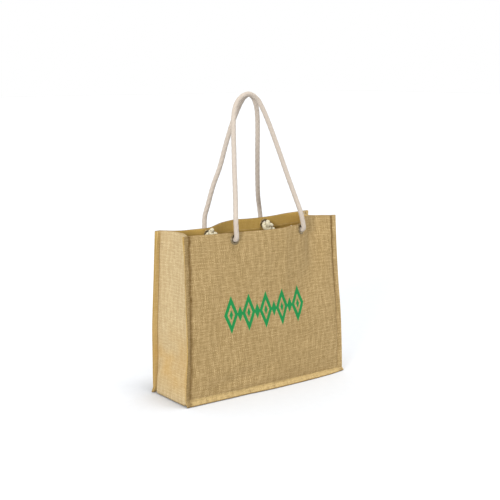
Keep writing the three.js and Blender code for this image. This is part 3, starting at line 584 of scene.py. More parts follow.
def mesh_object(name, verts, faces, uvs=None, material=None):
    """A smooth mesh object. uvs has one pair for each vertex, and may run from 0 to 1 around a ring."""
    mesh = bpy.data.meshes.new(name)
    mesh.from_pydata(np.asarray(verts).tolist(), [], [list(map(int, f)) for f in faces])
    mesh.update()
    mesh.polygons.foreach_set("use_smooth", [True] * len(mesh.polygons))
    if uvs is not None:
        layer = mesh.uv_layers.new(name="cloth")
        loops = np.empty(len(mesh.loops), int)
        mesh.loops.foreach_get("vertex_index", loops)
        places = np.asarray(uvs, np.float32)[loops]
        first = np.empty(len(mesh.polygons), int)
        mesh.polygons.foreach_get("loop_start", first)
        widest = np.maximum.reduceat(places[:, 0], first)
        sizes = np.diff(np.append(first, len(loops)))
        behind = (np.repeat(widest, sizes) - places[:, 0] > 0.5) & (np.repeat(sizes, sizes) == 4)
        places[behind, 0] += 1
        layer.data.foreach_set("uv", places.ravel())
    if material is not None:
        mesh.materials.append(material)
    thing = bpy.data.objects.new(name, mesh)
    bpy.context.scene.collection.objects.link(thing)
    return thing


def sheet_mesh(name, face, back, material, marks, shift, keep=None):
    """A closed cloth between two grids. The first faces the side that its (columns) x (rows) points to.

    marks are values at the points of both grids that the material reads by name.
    """
    high, wide = face.shape[:2]
    at = np.arange(2 * high * wide).reshape(2, high, wide)
    quads = []

    def add(a, b, c, d, mask=None):
        cells = np.stack([a, b, c, d], axis=-1)
        quads.append(cells[mask] if mask is not None else cells.reshape(-1, 4))

    for side, ring in zip(at, (1, -1)):
        add(*(side[:-1, :-1], side[:-1, 1:], side[1:, 1:], side[1:, :-1])[::ring], mask=keep)
    add(at[1, 0, :-1], at[1, 0, 1:], at[0, 0, 1:], at[0, 0, :-1])
    add(at[0, -1, :-1], at[0, -1, 1:], at[1, -1, 1:], at[1, -1, :-1])
    add(at[0, :-1, 0], at[0, 1:, 0], at[1, 1:, 0], at[1, :-1, 0])
    add(at[1, :-1, -1], at[1, 1:, -1], at[0, 1:, -1], at[0, :-1, -1])
    across, up = cloth_arc(face)
    uvs = np.stack(np.meshgrid(across + shift, up), axis=-1).reshape(-1, 2)
    verts = np.concatenate([face.reshape(-1, 3), back.reshape(-1, 3)])
    thing = mesh_object(name, verts, np.concatenate(quads), np.concatenate([uvs, uvs]), material)
    thing.data.set_sharp_from_angle(angle=math.radians(SHARP))
    for mark, values in marks.items():
        layer = thing.data.attributes.new(mark, "FLOAT", "POINT")
        layer.data.foreach_set("value", np.ravel(values).astype(np.float32))
    return thing


def ripple(points, normals, strength):
    """Small random waves along the normals, which pass from one piece of cloth to the next."""
    moved = np.zeros(points.shape[:2])
    for _ in range(RIPPLE_WAVES):
        wave = rng.normal(size=3)
        wave *= rng.uniform(*RIPPLE_PACE) / np.linalg.norm(wave)
        moved += np.sin(points @ wave + rng.uniform(0, 2 * math.pi)) / RIPPLE_WAVES**0.5
    return points + unit(normals) * (moved * RIPPLE)[..., None] * strength[..., None]


def press(points, panel, side):
    """Presses the cloth around an eyelet flat. Gives its middle, its axis and each point's distance too."""
    x0, x1 = panel["top_edge"]["x"][0], panel["top_edge"]["x"][-1]
    place = panel["eyelets"][side]
    shares = (place + np.array([-EYELET_CELL, EYELET_CELL]) - x0) / (x1 - x0)
    low, high = (panel_row(panel, shares, depth=depth) for depth in (HEM_DEPTH, EYELET_CELL_TOP))
    middle = (low.sum(axis=0) + high.sum(axis=0)) / 4
    axis = unit(np.cross(high[1] - low[0], high[0] - low[1]))
    axis *= math.copysign(1, axis[1] * panel["out"])
    away = points - middle
    off = away @ axis
    radius = np.linalg.norm(away - off[..., None] * axis, axis=-1)
    weight = (1 - ease((radius - PRESS_FLAT) / PRESS_FADE)) * (np.abs(off) < PRESS_REACH)
    return points - axis * (off * weight)[..., None], middle, axis, radius


def press_eyelets(points, panel):
    """Presses the cloth around both eyelets. Gives its points, the eyelets and which cells stay."""
    eyelets = []
    kept = np.ones((points.shape[0] - 1, points.shape[1] - 1), bool)
    for side in (0, 1):
        points, middle, axis, radius = press(points, panel, side)
        eyelets.append((middle, axis))
        cell_radius = (radius[1:, 1:] + radius[:-1, :-1]) / 2
        near = np.abs((points[:-1, :-1] - middle) @ axis) < HOLE_REACH
        kept &= ~((cell_radius < HOLE) & near)
    return points, eyelets, kept


def panel_marks(across, up, panel):
    """Where a panel has painted shade, pale cut edges and a golden tone, on the grid of its front and on
    the grid of its back.
    """
    rows, wide = len(up), len(across)
    soil = np.zeros((rows, wide))
    # Painted shade in the groove along each side seam, and over the margin outside it, which faces away
    # from the light.
    for side, column in enumerate((MARGIN_CELLS, wide - 1 - MARGIN_CELLS)):
        slow, fast = (rng.uniform(*pace) for pace in SHADE_PACES)
        wander = SHADE_WANDER * np.sin(up * slow) * np.sin(up * fast + side)
        away = np.abs(across[None] - across[column] - wander[:, None])
        low, high, reach, margin = panel["soil"][side]
        amount = mix(low, high, ease(up / up[-1]))[:, None]
        soil += amount * np.exp(-((away / reach) ** 2))
        outside = np.arange(wide) < column if side == 0 else np.arange(wide) > column
        soil[:, outside] = np.maximum(soil[:, outside], margin)
    # Painted shade along the lower edge, where the cloth meets the floor; the folded top edge is made
    # darker.
    soil[0] = 1
    soil[-EDGE_ROWS:] = TOP_EDGE_DARK
    # Painted highlight on the lower margins, which catch the light, and pale cut edges, partly wear and
    # partly painted highlight.
    rub = np.zeros((rows, wide))
    rub[1 : MARGIN_CELLS + 1, MARGIN_CELLS:-MARGIN_CELLS] = LOW_HIGHLIGHT
    rub[:, [0, -1]] = panel["worn_and_lit"]
    # Golden tone on the inner face, a painted warm glow, except on the folded top edge.
    golden = np.ones((rows, wide))
    golden[-EDGE_ROWS:] = 0
    sides = (np.zeros_like(golden), golden)[:: -panel["out"]]
    return {"soil": (soil, soil), "rub": (rub, rub), "golden": sides}


def above_floor(points):
    return np.maximum(points, [-np.inf, -np.inf, 0])


def make_panel(name, panel, material):
    """A panel's cloth, and what its strip, eyelets and stitches are set from."""
    points, thickness, drawn_in = panel_grid(panel)
    across, up = cloth_arc(points)
    columns = np.arange(len(across))
    seams = np.array([MARGIN_CELLS, len(across) - 1 - MARGIN_CELLS])
    from_side = np.abs(across[:, None] - across[seams]).min(axis=1)
    from_bottom = np.abs(up - up[MARGIN_CELLS])
    away = np.minimum(from_side[None], from_bottom[:, None])
    inner = (columns > seams[0]) & (columns < seams[1])
    below_top = ease((up[-1] - up) / RIPPLE_FROM_TOP)
    calm = ease(away / RIPPLE_FROM_SEAM) * inner[None] * below_top[:, None]
    points = ripple(points, grid_normals(points, -panel["out"]), calm)
    points, eyelets, kept = press_eyelets(points, panel)
    normals = grid_normals(points, -panel["out"])
    groove = PINCH * np.exp(-((from_side / PINCH_WIDE) ** 2))[None]
    groove = np.maximum(groove, LOW_PINCH * np.exp(-((from_bottom / PINCH_WIDE) ** 2))[:, None])
    outer = above_floor(points - normals * (drawn_in[:, None] + groove)[..., None])
    back = above_floor(points - normals * (thickness - drawn_in[:, None])[..., None])
    grids = (outer, back)[:: -panel["out"]]
    marks = panel_marks(across, up, panel)
    cloth = sheet_mesh(name, *grids, material, marks, shift=-across[-1] / 2, keep=kept)
    return {
        "cloth": cloth,
        "points": points,
        "outer": outer,
        "normals": normals,
        "thickness": thickness,
        "drawn_in": drawn_in,
        "eyelets": eyelets,
    }


def strip_edge(panel, seam_at, tip_at):
    """The strip's face against a panel's margin: its seam and its edge, from grid places of the panel."""
    def behind(at):
        return panel["points"][at] - panel["normals"][at] * (panel["thickness"][at] + SEAM_GAP)
    seam = behind(seam_at)
    return seam, mix(behind(tip_at), seam, STRIP_SHORT / MARGIN)


def strip_section(front, back, reach, place):
    """A cross section of the strip. place gives where the full bulge takes a point between the seams."""
    shares = np.linspace(0, 1, GUSSET_CELLS + 1)[1:-1]
    straight = mix(front[0], back[0], shares[:, None])
    edge = np.minimum(shares, 1 - shares) * np.linalg.norm(front[0] - back[0])
    full = 1 - (1 - np.minimum(edge / reach, 1)) ** 2
    between = mix(straight, place(straight), full[:, None])
    first = np.linspace(front[1], front[0], MARGIN_CELLS + 1)
    last = np.linspace(back[0], back[1], MARGIN_CELLS + 1)
    return np.concatenate([first, between, last])


def side_place(side, rows, hem):
    def place(points):
        x, y, z = points.T
        out = follow(rows, "z", "out", z) - hem - dent_depth(SIDE_DENTS, "y", y, z, side)
        return np.stack([x + side * out, y, z - follow(rows, "z", "drop", z)], axis=-1)
    return place


def floor_place(side, past, height):
    def place(points):
        x, y, _ = points.T
        return np.stack([x + side * past, y, np.full(len(x), height)], axis=-1)
    return place


def refine(sections, cells):
    """Smooth sections between the second and the last but one of a list, without those two."""
    out = []
    for k in range(1, len(sections) - 2):
        a, b, c, d = sections[k - 1 : k + 3]
        out += [cubic(b, (c - a) / 2, c, (d - b) / 2, t) for t in np.arange(1, cells) / cells]
        if k < len(sections) - 3:
            out.append(c)
    return out


def strip_marks(sections):
    """Where the strip has painted shade, pale cut edges and a golden tone, outside and inside.

    It has painted shade along its seams, where it meets the floor and on its margins, which are golden too.
    """
    rows, wide = sections.shape[:2]
    columns = np.arange(wide)
    from_edge = np.minimum(columns, columns[::-1])
    # Painted shade in the groove along each seam, on the margins and where the strip meets the floor.
    seam = np.where(from_edge == MARGIN_CELLS, STRIP_SEAM_SHADE, 0.0)
    seam[columns < MARGIN_CELLS], seam[columns > wide - 1 - MARGIN_CELLS] = STRIP_MARGIN_SHADE
    soil = np.maximum(seam[None], 1 - ease(sections[..., 2] / STRIP_LOW))
    soil[:EDGE_ROWS] = soil[-EDGE_ROWS:] = TOP_EDGE_DARK
    # Pale cut edges, partly wear and partly painted highlight.
    rub = np.tile(np.where(from_edge == 0, STRIP_EDGE_WEAR_AND_LIGHT, 0), (rows, 1))
    # Golden tone on the margins outside, and painted warm glow over the inner face.
    golden = np.tile(np.where(from_edge < MARGIN_CELLS, STRIP_GOLDEN, 0.0), (rows, 1))
    inner = np.ones((rows, wide))
    inner[:EDGE_ROWS] = inner[-EDGE_ROWS:] = 0
    return {"soil": (soil, soil * INNER_SHADE), "rub": (rub, rub), "golden": (golden, inner)}


def strip_sections(front, back):
    """The strip's sections down the left side, along the base and up the right, and a side's count."""
    rows, columns = front["points"].shape[:2]
    low = MARGIN_CELLS

    def section(place, reach, seam_at, tip_at):
        edges = [strip_edge(panel, seam_at, tip_at) for panel in (front, back)]
        return strip_section(*edges, reach, place)

    def side(sign, table_rows, column, margin):
        made = []
        for j in range(rows - 1, low - 1, -1):
            hem = front["thickness"][j, columns // 2] - CLOTH
            level = front["points"][j, column, 2]
            reach = mix(BASE_REACH, SIDE_REACH, ease((level - SIDE_TURN_FROM) / SIDE_TURN_OVER))
            made.append(section(side_place(sign, table_rows, hem), reach, (j, column), (j, margin)))
        return made

    def corner(sign, column, margin):
        fold = floor_place(sign, FOLD_OUT, 2 * CLOTH)
        flat = floor_place(sign, FOLD_OUT - FOLD_WIDE, CLOTH)
        return [
            section(fold, BASE_REACH, (low, column), (0, margin)),
            section(flat, BASE_REACH, (low, column), (0, column)),
        ]

    right_seam, right_edge = columns - 1 - low, columns - 1
    left = side(-1, LEFT_SIDE, low, 0)
    right = side(1, RIGHT_SIDE, right_seam, right_edge)
    flat = floor_place(0, 0, CLOTH)
    flat_from = low + BASE_FROM
    flat_columns = range(flat_from, columns - flat_from)
    base = [section(flat, BASE_REACH, (low, i), (0, i)) for i in flat_columns]
    left_join = refine([left[-2], left[-1], *corner(-1, low, 0), base[0], base[1]], CORNER_CELLS)
    right_corner = corner(1, right_seam, right_edge)
    right_join = refine([right[-2], right[-1], *right_corner, base[-1], base[-2]], CORNER_CELLS)
    return np.array(left + left_join + base + right_join[::-1] + right[::-1]), len(left)


def make_strip(front, back, material):
    """The gusset strip's cloth, and what its stitches are set from."""
    sections, side = strip_sections(front, back)
    wide = sections.shape[1]
    drawn_in = np.zeros(len(sections))
    drawn_in[:side] = front["drawn_in"][::-1][:side]
    drawn_in[-side:] = front["drawn_in"][MARGIN_CELLS:]
    stepped = np.full(len(sections), CLOTH)
    stepped[:side] = front["thickness"][::-1, front["points"].shape[1] // 2][:side]
    stepped[-side:] = stepped[:side][::-1]
    level = sections[:, wide // 2, 2]
    layers = hem_thickness(wide, stepped, level.max() - level)
    normals = grid_normals(sections, 1)
    across = np.arange(wide) - MARGIN_CELLS
    inner = ease(np.minimum(across, across[::-1]) / STRIP_RIPPLE_CELLS)
    calm = inner[None] * ease((sections[..., 2] - STRIP_RIPPLE_FROM) / STRIP_RIPPLE_OVER) * STRIP_RIPPLE
    sections = ripple(sections, normals, calm)
    outer = above_floor(sections + normals * (layers - drawn_in[:, None])[..., None])
    inner = above_floor(sections + normals * drawn_in[:, None, None])
    cloth = sheet_mesh("gusset_cloth", outer, inner, material, strip_marks(sections), shift=STRIP_SHIFT)
    return {"cloth": cloth, "outer": outer, "normals": normals}


def catmull(points, step):
    """A centripetal Catmull-Rom line through points, at even steps."""
    points = np.asarray(points, float)
    padded = np.concatenate([[2 * points[0] - points[1]], points, [2 * points[-1] - points[-2]]])
    fine = []
    for k in range(1, len(padded) - 2):
        a, b, c, d = padded[k - 1 : k + 3]
        steps = [max(np.linalg.norm(q - p), 1e-9) ** 0.5 for p, q in ((a, b), (b, c), (c, d))]
        knots = np.cumsum([0] + steps)
        t = np.linspace(knots[1], knots[2], ROUTE_STEPS, endpoint=k == len(padded) - 3)[:, None]

        def between(p, q, i, j):
            return ((knots[j] - t) * p + (t - knots[i]) * q) / (knots[j] - knots[i])

        ab, bc, cd = between(a, b, 0, 1), between(b, c, 1, 2), between(c, d, 2, 3)
        fine.append(between(between(ab, bc, 0, 2), between(bc, cd, 1, 3), 1, 2))
    fine = np.concatenate(fine)
    arc = arc_along(fine)
    return points_at(fine, arc, np.linspace(0, arc[-1], round(arc[-1] / step) + 1))


def sweep(line, radius, start=(0, 0, 1), lay=LAY, groove=GROOVE, around=ROPE_AROUND):
    """Vertices, faces and (around, along) places of a laid rope along a line. radius may vary along it."""
    line = np.asarray(line)
    count = len(line)
    tangents = unit(np.gradient(line, axis=0))
    across = unit(np.cross(start, tangents[0]))
    arc = arc_along(line)
    radius = np.broadcast_to(radius, count)
    angle = np.linspace(0, 2 * math.pi, around, endpoint=False)
    lobe = 1 - groove * (1 - np.abs(np.sin(STRANDS * angle / 2 + math.pi / 2)))
    verts = []
    for k in range(count):
        across = unit(across - tangents[k] * (across @ tangents[k]))
        upward = np.cross(tangents[k], across)
        turn = angle + 2 * math.pi * arc[k] / lay
        ring = np.cos(turn)[:, None] * across + np.sin(turn)[:, None] * upward
        verts.append(line[k] + (radius[k] * lobe)[:, None] * ring)
    at = np.arange(count * around).reshape(count, around)
    nxt = np.roll(at, -1, axis=1)
    faces = np.stack([at[:-1], nxt[:-1], nxt[1:], at[1:]], axis=-1).reshape(-1, 4).tolist()
    faces += [at[0, ::-1].tolist(), at[-1].tolist()]
    uvs = np.stack(np.meshgrid(angle / (2 * math.pi), arc), axis=-1).reshape(-1, 2)
    return np.concatenate(verts), faces, uvs


def rope_line(eyelets, route, tops):
    """The rope's centre line: straight out of one eyelet, up in a bend, over the top and back down."""
    def bend(eyelet, toward, knot_top):
        middle, axis = eyelet
        lift = toward - middle
        lift = unit(lift - axis * (lift @ axis))
        start = middle + axis * (EYELET_PROUD + GAP)
        turns = np.radians(np.linspace(0, 90, BEND_STEPS + 1))
        turned = [start + axis * BEND * math.sin(t) + lift * BEND * (1 - math.cos(t)) for t in turns]
        return [middle + axis * (knot_top + GAP), *turned]

    route = [np.array(point) for point in route]
    left, right = bend(eyelets[0], route[0], tops[0]), bend(eyelets[1], route[-1], tops[1])
    return catmull(left + route + right[::-1], ROPE_STEP)


def along_axis(points, middle, axis):
    """Points made around +Z, turned so that +Z lies along an axis and moved to a place."""
    turn = Vector((0, 0, 1)).rotation_difference(Vector(axis)).to_matrix()
    return np.asarray(points) @ np.array(turn).T + middle


def lathe(profile, sides):
    """Vertices and faces of a closed profile of (radius, height) turned around +Z."""
    turn = np.linspace(0, 2 * math.pi, sides, endpoint=False)
    verts = [np.stack([r * np.cos(turn), r * np.sin(turn), np.full(sides, z)], axis=-1) for r, z in profile]
    at = np.arange(len(profile) * sides).reshape(len(profile), sides)
    up, nxt = np.roll(at, -1, axis=0), np.roll(at, -1, axis=1)
    faces = np.stack([at, nxt, np.roll(up, -1, axis=1), up], axis=-1).reshape(-1, 4)
    return np.concatenate(verts), faces


def eyelet_profile():
    """The section of a pressed ring: a rolled flange on each face of the hem and a barrel between them."""
    front, back = GAP, -HEM - GAP
    mean = (EYELET_BORE + EYELET_FLANGE) / 2
    half = (EYELET_FLANGE - EYELET_BORE) / 2
    turns = np.radians(np.linspace(0, 180, ROLL_STEPS))
    rolls = [(half * math.cos(t), EYELET_PROUD * math.sin(t) ** ROLL_FULL) for t in turns]
    outside = [(mean + aside, front + proud) for aside, proud in rolls]
    inside = [(mean - aside, back - proud) for aside, proud in rolls]
    return [(EYELET_BARREL, front), *outside, *inside, (EYELET_BARREL, back)]


def knot_line():
    """The centre line of the turns in a stopper knot, around +Z."""
    t = np.linspace(0, 2 * math.pi, KNOT_STEPS)
    ring = KNOT_LOOP * (1 + KNOT_SPREAD * np.cos(3 * t))
    return np.stack([ring * np.cos(2 * t), ring * np.sin(2 * t), KNOT_SWING * np.sin(3 * t)], axis=-1)


def linear(hexcode):
    """A colour of six hex digits as linear light, for a node."""
    parts = [int(hexcode[k : k + 2], 16) / 255 for k in (0, 2, 4)]
    return (*(c / 12.92 if c <= 0.04045 else ((c + 0.055) / 1.055) ** 2.4 for c in parts), 1)


class Finish:
    """A material, with short calls for making its nodes. A colour is given as six hex digits."""

    def __init__(self, name, roughness, metallic=0, specular=0.12):
        self.material = bpy.data.materials.new(name)
        self.material.use_nodes = True
        self.nodes = self.material.node_tree.nodes
        self.shade({"Roughness": roughness, "Metallic": metallic, "Specular IOR Level": specular})

    def feed(self, socket, value):
        if isinstance(value, bpy.types.NodeSocket):
            self.material.node_tree.links.new(value, socket)
        else:
            socket.default_value = linear(value) if isinstance(value, str) else value

    def shade(self, inputs):
        """Sets inputs of the material's shader by name."""
        for name, value in inputs.items():
            self.feed(self.nodes["Principled BSDF"].inputs[name], value)

    def node(self, kind, output, inputs=(), **settings):
        """An output of a new node, whose inputs are given by name or place."""
        made = self.nodes.new("ShaderNode" + kind)
        for name, setting in settings.items():
            setattr(made, name, setting)
        for place, value in dict(inputs).items():
            self.feed(made.inputs[place], value)
        return made.outputs[output]

    def math(self, operation, *values, clamp=False):
        return self.node("Math", 0, enumerate(values), operation=operation, use_clamp=clamp)

    def add(self, *values):
        total = values[0]
        for value in values[1:]:
            total = self.math("ADD", total, value)
        return total

    def times(self, a, b):
        return self.math("MULTIPLY", a, b)

    def less(self, a, b):
        return self.math("SUBTRACT", a, b)

    def scaled(self, value, low, high):
        """value from low..high brought to 0..1, with soft ends."""
        inputs = {"Value": value, "From Min": low, "From Max": high}
        return self.node("MapRange", "Result", inputs, interpolation_type="SMOOTHSTEP")

    def vector(self, x, y, z=0.0, scale=1.0):
        if scale != 1:
            x, y = self.times(x, scale), self.times(y, scale)
        return self.node("CombineXYZ", 0, enumerate((x, y, z)))

    def noise(self, vector, scale=1.0, detail=2):
        return self.node("TexNoise", "Fac", {"Vector": vector, "Scale": scale, "Detail": detail})

    def blend(self, factor, a, b):
        return self.node("Mix", 2, {0: factor, 6: a, 7: b}, data_type="RGBA")

    def part(self, vector, axis):
        return self.node("SeparateXYZ", axis, {0: vector})

    def cloth_place(self):
        """The two cloth coordinates, in metres."""
        place = self.node("UVMap", 0, uv_map="cloth")
        return self.part(place, 0), self.part(place, 1)

    def mark(self, name):
        """A value that the mesh keeps at its points."""
        return self.node("Attribute", "Fac", attribute_name=name)

    def object_place(self):
        return self.node("TexCoord", "Object")

    def bump(self, height, distance, strength):
        inputs = {"Height": height, "Distance": distance, "Strength": strength}
        self.shade({"Normal": self.node("Bump", 0, inputs)})

    def sheen(self, weight, roughness, tint):
        self.shade({"Sheen Weight": weight, "Sheen Roughness": roughness, "Sheen Tint": tint})


def yarn(f, across, along, slowly, seed, turn, kind):
    """Height and tone of one set of yarns. turn is 1 for the warp and -1 for the weft."""
    drift, even, paler_every, paler = kind
    number = f.math("FLOOR", across)
    beside = f.math("ABSOLUTE", f.less(f.math("FRACT", across), 0.5))
    quick_step, slow_step = YARN_STEPS
    quick = f.vector(f.times(number, quick_step), f.times(along, drift), seed + turn)
    slow = f.vector(f.times(number, slow_step), f.times(along, EVEN_DRIFT), seed + 2 * turn)
    tone = f.add(f.times(f.noise(quick, detail=1), 1 - even), f.times(f.noise(slow, detail=0), even))
    beat = f.add(f.times(number, 2 * math.pi / paler_every), f.times(slowly, PALER_MOVE))
    tone = f.math("MULTIPLY_ADD", f.scaled(f.math("COSINE", beat), 0.0, 1.0), paler, tone)
    tone = f.add(tone, -paler * PALER_MEAN)
    thin, wider = YARN_HALF
    ratio = f.math("DIVIDE", beside, f.math("MULTIPLY_ADD", tone, wider, thin))
    bulge = f.math("SQRT", f.math("MAXIMUM", f.less(1.0, f.times(ratio, ratio)), 0.0))
    phase = f.times(f.add(along, number, -0.5), math.pi)
    wave = f.times(f.math("COSINE", phase), YARN_WAVE * turn)
    places = [f.times(place, pace) for place, pace in zip((across, along), FIBRE_PACES)]
    fibre = f.noise(f.vector(*places, seed), detail=1)
    height = f.math("MULTIPLY_ADD", bulge, YARN_ROUND, wave)
    height = f.add(height, f.times(fibre, FIBRE_RISE), -YARN_SUNK)
    return height, f.math("MULTIPLY_ADD", fibre, FIBRE_TONE, tone)


def plain_weave(f, u, v, seed):
    """Height (about -0.5 to 1) and yarn tone (0 to 1) of a plain weave of uneven yarns."""
    wander = f.noise(f.vector(u, v, seed, scale=WANDER_SCALE))
    slowly = f.noise(f.vector(u, v, seed + 4, scale=PALER_SCALE), detail=0)
    moved = [f.math("MULTIPLY_ADD", wander, reach, place) for place, reach in zip((u, v), YARN_WANDER)]
    u, v = (f.math("DIVIDE", place, YARN_PITCH) for place in moved)
    warp, warp_tone = yarn(f, u, v, slowly, seed, 1, WARP)
    weft, weft_tone = yarn(f, v, u, slowly, seed, -1, WEFT)
    over = f.math("GREATER_THAN", warp, weft)
    weft_tone = f.math("MULTIPLY_ADD", weft_tone, WEFT_TONE, WEFT_MEAN * (1 - WEFT_TONE))
    tone = f.add(f.times(over, warp_tone), f.times(f.less(1.0, over), weft_tone))
    return f.math("MAXIMUM", warp, weft), tone


def lozenges(f, u, v, height):
    """Where the ink of a band of plain lozenges lies, large and small in turn, around a place."""
    u, v = f.less(u, BAND_PLACE[0]), f.less(v, BAND_PLACE[1])
    up = f.math("ABSOLUTE", v)
    along = f.math("ABSOLUTE", u)
    uneven = f.times(f.noise(f.vector(u, v), BAND_EDGE_SCALE), BAND_UNEVEN)

    def lozenge(shift, size):
        cell = f.math("PINGPONG", f.add(u, shift), BAND_STEP / 2)
        wide, tall = BAND_WIDE * size, BAND_TALL * size
        return f.add(f.math("DIVIDE", cell, wide), f.math("DIVIDE", up, tall), uneven)

    def within(value, limit):
        return f.math("LESS_THAN", value, limit)

    large, small = lozenge(0.0, 1.0), lozenge(BAND_STEP / 2, BAND_SMALL)
    low, high = BAND_WINDOW
    window = f.times(within(large, high), f.math("GREATER_THAN", large, low))
    shape = f.math("SUBTRACT", within(large, 1.0), window, clamp=True)
    large_reach, small_reach = (within(along, BAND_STEP * steps) for steps in BAND_REACH)
    shape = f.math("MAXIMUM", f.times(shape, large_reach), f.times(within(small, 1.0), small_reach))
    least, more = INK_COVER
    return f.times(shape, f.math("MULTIPLY_ADD", f.scaled(height, *INK_HEIGHTS), more, least))


def jute(name, pale, dark, gap_shade, seed, band=False, warm=0.0):
    """Plain woven jute: uneven yarns, painted shade in the gaps, golden inner faces with a painted warm
    glow, painted shade along the seams and pale cut edges that are partly painted highlight.
    """
    f = Finish(name, roughness=0.92)
    u, v = f.cloth_place()
    height, tone = plain_weave(f, u, v, seed)
    colour = f.blend(f.scaled(tone, *TONES), dark, pale)
    drift = f.noise(f.vector(u, v, seed), DRIFT_SCALE)
    colour = f.blend(f.math("MULTIPLY_ADD", drift, *DRIFT, clamp=True), colour, dark)
    fleck = f.noise(f.vector(u, v, seed, scale=FLECK_SCALE), detail=1)
    colour = f.blend(f.times(f.scaled(fleck, *FLECKS), FLECK), colour, gap_shade)
    if band:
        colour = f.blend(lozenges(f, u, v, height), colour, INK)
    # Painted shade in the gaps between the yarns.
    colour = f.blend(f.scaled(height, *GAP_HEIGHTS), gap_shade, colour)
    # Golden tone: painted warm glow on the inner faces, and the strip's golden margins.
    colour = f.blend(f.times(f.mark("golden"), GOLDEN_GLOW_AMOUNT), colour, GOLDEN_GLOW_TONE)
    # Warmer and yellower low down, in patches.
    level = f.part(f.object_place(), 2)
    begin, full, end = WARM_HEIGHTS
    low = f.times(f.scaled(level, begin, full), f.less(1.0, f.scaled(level, full, end)))
    warm_spots = f.scaled(f.noise(f.object_place(), WARM_SCALE, detail=1), *WARM_PATCHES)
    colour = f.blend(f.times(f.times(low, warm_spots), warm), colour, WARM)
    patchy = f.noise(f.vector(u, v, seed, scale=PATCH_SCALE))
    # Painted shade along the seams, on margins and where the cloth meets the floor, in patches.
    shaded = f.times(f.mark("soil"), f.math("MULTIPLY_ADD", patchy, *SHADE_PATCHES, clamp=True))
    colour = f.blend(shaded, colour, SHADE_TONE)
    # Pale cut edges and lower margins, partly wear and partly painted highlight.
    worn_and_lit = f.times(f.mark("rub"), f.scaled(patchy, *WEAR_AND_LIGHT_PATCHES))
    f.shade({"Base Color": f.blend(f.times(worn_and_lit, WEAR_AND_LIGHT), colour, WORN_AND_LIT_TONE)})
    f.bump(height, distance=0.0005, strength=0.7)
    f.sheen(0.05, 0.5, "e8d9b8")
    return f.material


def twisted(f, around, along):
    """Waves of the yarns that turn around a rope or a thread: how many around it, and in a metre of it."""
    u, v = f.cloth_place()
    return f.math("SINE", f.times(f.add(f.times(u, around), f.times(v, along)), 2 * math.pi))


def cotton(name, dull, bright, groove):
    """Soft twisted cotton: fine yarns along the strands, with painted shade in the grooves between the
    yarns.
    """
    f = Finish(name, roughness=0.9)
    twist = twisted(f, *COTTON_YARNS)
    places = [f.times(place, pace) for place, pace in zip(f.cloth_place(), COTTON_FIBRES)]
    fibre = f.noise(f.vector(*places))
    # Painted shade in the grooves between the yarns.
    colour = f.blend(f.scaled(twist, *COTTON_GROOVES), groove, f.blend(fibre, dull, bright))
    clouds = f.times(f.noise(f.object_place(), CLOUD_SCALE), CLOUDS)
    f.shade({"Base Color": f.blend(clouds, colour, dull)})
    f.bump(f.add(f.times(twist, COTTON_RISE), fibre), distance=0.0003, strength=0.6)
    f.sheen(0.08, 0.4, "ffffff")
    return f.material


def pressed_metal():
    """Pressed metal, dulled and darkened as painted shade, with fine turned marks and a little grime."""
    f = Finish("pressed_metal", roughness=0.32, metallic=1, specular=0.5)
    marks = f.noise(f.object_place(), METAL_MARKS)
    grime = f.scaled(f.noise(f.object_place(), GRIME_SCALE, detail=3), *GRIME_PATCHES)
    f.shade({
        "Base Color": f.blend(f.times(grime, GRIME), *SHADED_METAL_TONES),
        "Roughness": f.math("MULTIPLY_ADD", marks, *METAL_ROUGHNESS),
    })
    f.bump(marks, distance=0.00006, strength=0.5)
    return f.material


def thread(name, dark, pale):
    """Twisted sewing thread of jute colour."""
    f = Finish(name, roughness=0.85)
    fibre = f.noise(f.object_place(), THREAD_FIBRES)
    f.shade({"Base Color": f.blend(fibre, dark, pale)})
    f.bump(f.add(twisted(f, *THREAD_YARNS), fibre), distance=0.0001, strength=0.6)
    return f.material


def mottled(name, tones, roughness, scale, detail=2):
    """A plain matt material that wanders between two tones."""
    f = Finish(name, roughness)
    f.shade({"Base Color": f.blend(f.noise(f.object_place(), scale, detail), *tones)})
    return f.material


def make_camera():
    data = bpy.data.cameras.new("camera")
    data.sensor_width = SENSOR
    data.lens = FOCAL_PIXELS / IMAGE_PIXELS * SENSOR
    camera = bpy.data.objects.new("camera", data)
    camera.location = CAMERA_PLACE
    look = Vector(CAMERA_TARGET) - Vector(CAMERA_PLACE)
    camera.rotation_euler = look.to_track_quat("-Z", "Y").to_euler()
    bpy.context.scene.collection.objects.link(camera)
    bpy.context.scene.camera = camera


def make_light(name, way, power, softness):
    """A distant light that comes from a way, with its apparent size in degrees."""
    data = bpy.data.lights.new(name, "SUN")
    data.energy = power
    data.angle = math.radians(softness)
    light = bpy.data.objects.new(name, data)
    light.rotation_euler = (-Vector(way)).to_track_quat("-Z", "Y").to_euler()
    bpy.context.scene.collection.objects.link(light)


def make_room():
    """A pale floor under a bright even sky, with soft lights from the left, from above and the right."""
    world = bpy.data.worlds.new("studio")
    world.use_nodes = True
    sky = world.node_tree.nodes["Background"]
    sky.inputs["Color"].default_value = (1, 1, 1, 1)
    sky.inputs["Strength"].default_value = SKY
    bpy.context.scene.world = world
    bpy.context.scene.view_settings.view_transform = "Standard"
    half = FLOOR_SIZE / 2
    corners = [(half * x, half * y, FLOOR_DROP) for x, y in ((-1, -1), (1, -1), (1, 1), (-1, 1))]
    paper = mottled("floor_paper", FLOOR_TONES, roughness=0.9, scale=60.0, detail=3)
    mesh_object("floor", corners, [[0, 1, 2, 3]], material=paper)
    for name, way, power, softness in LIGHTS:
        make_light(name, way, power, softness)


def finish_piece(thing, slot, *nodes):
    """A piece rides on the bag and stands for its nodes. slot is not used."""
    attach(thing, "root")
    if nodes:
        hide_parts(*nodes)
    return thing


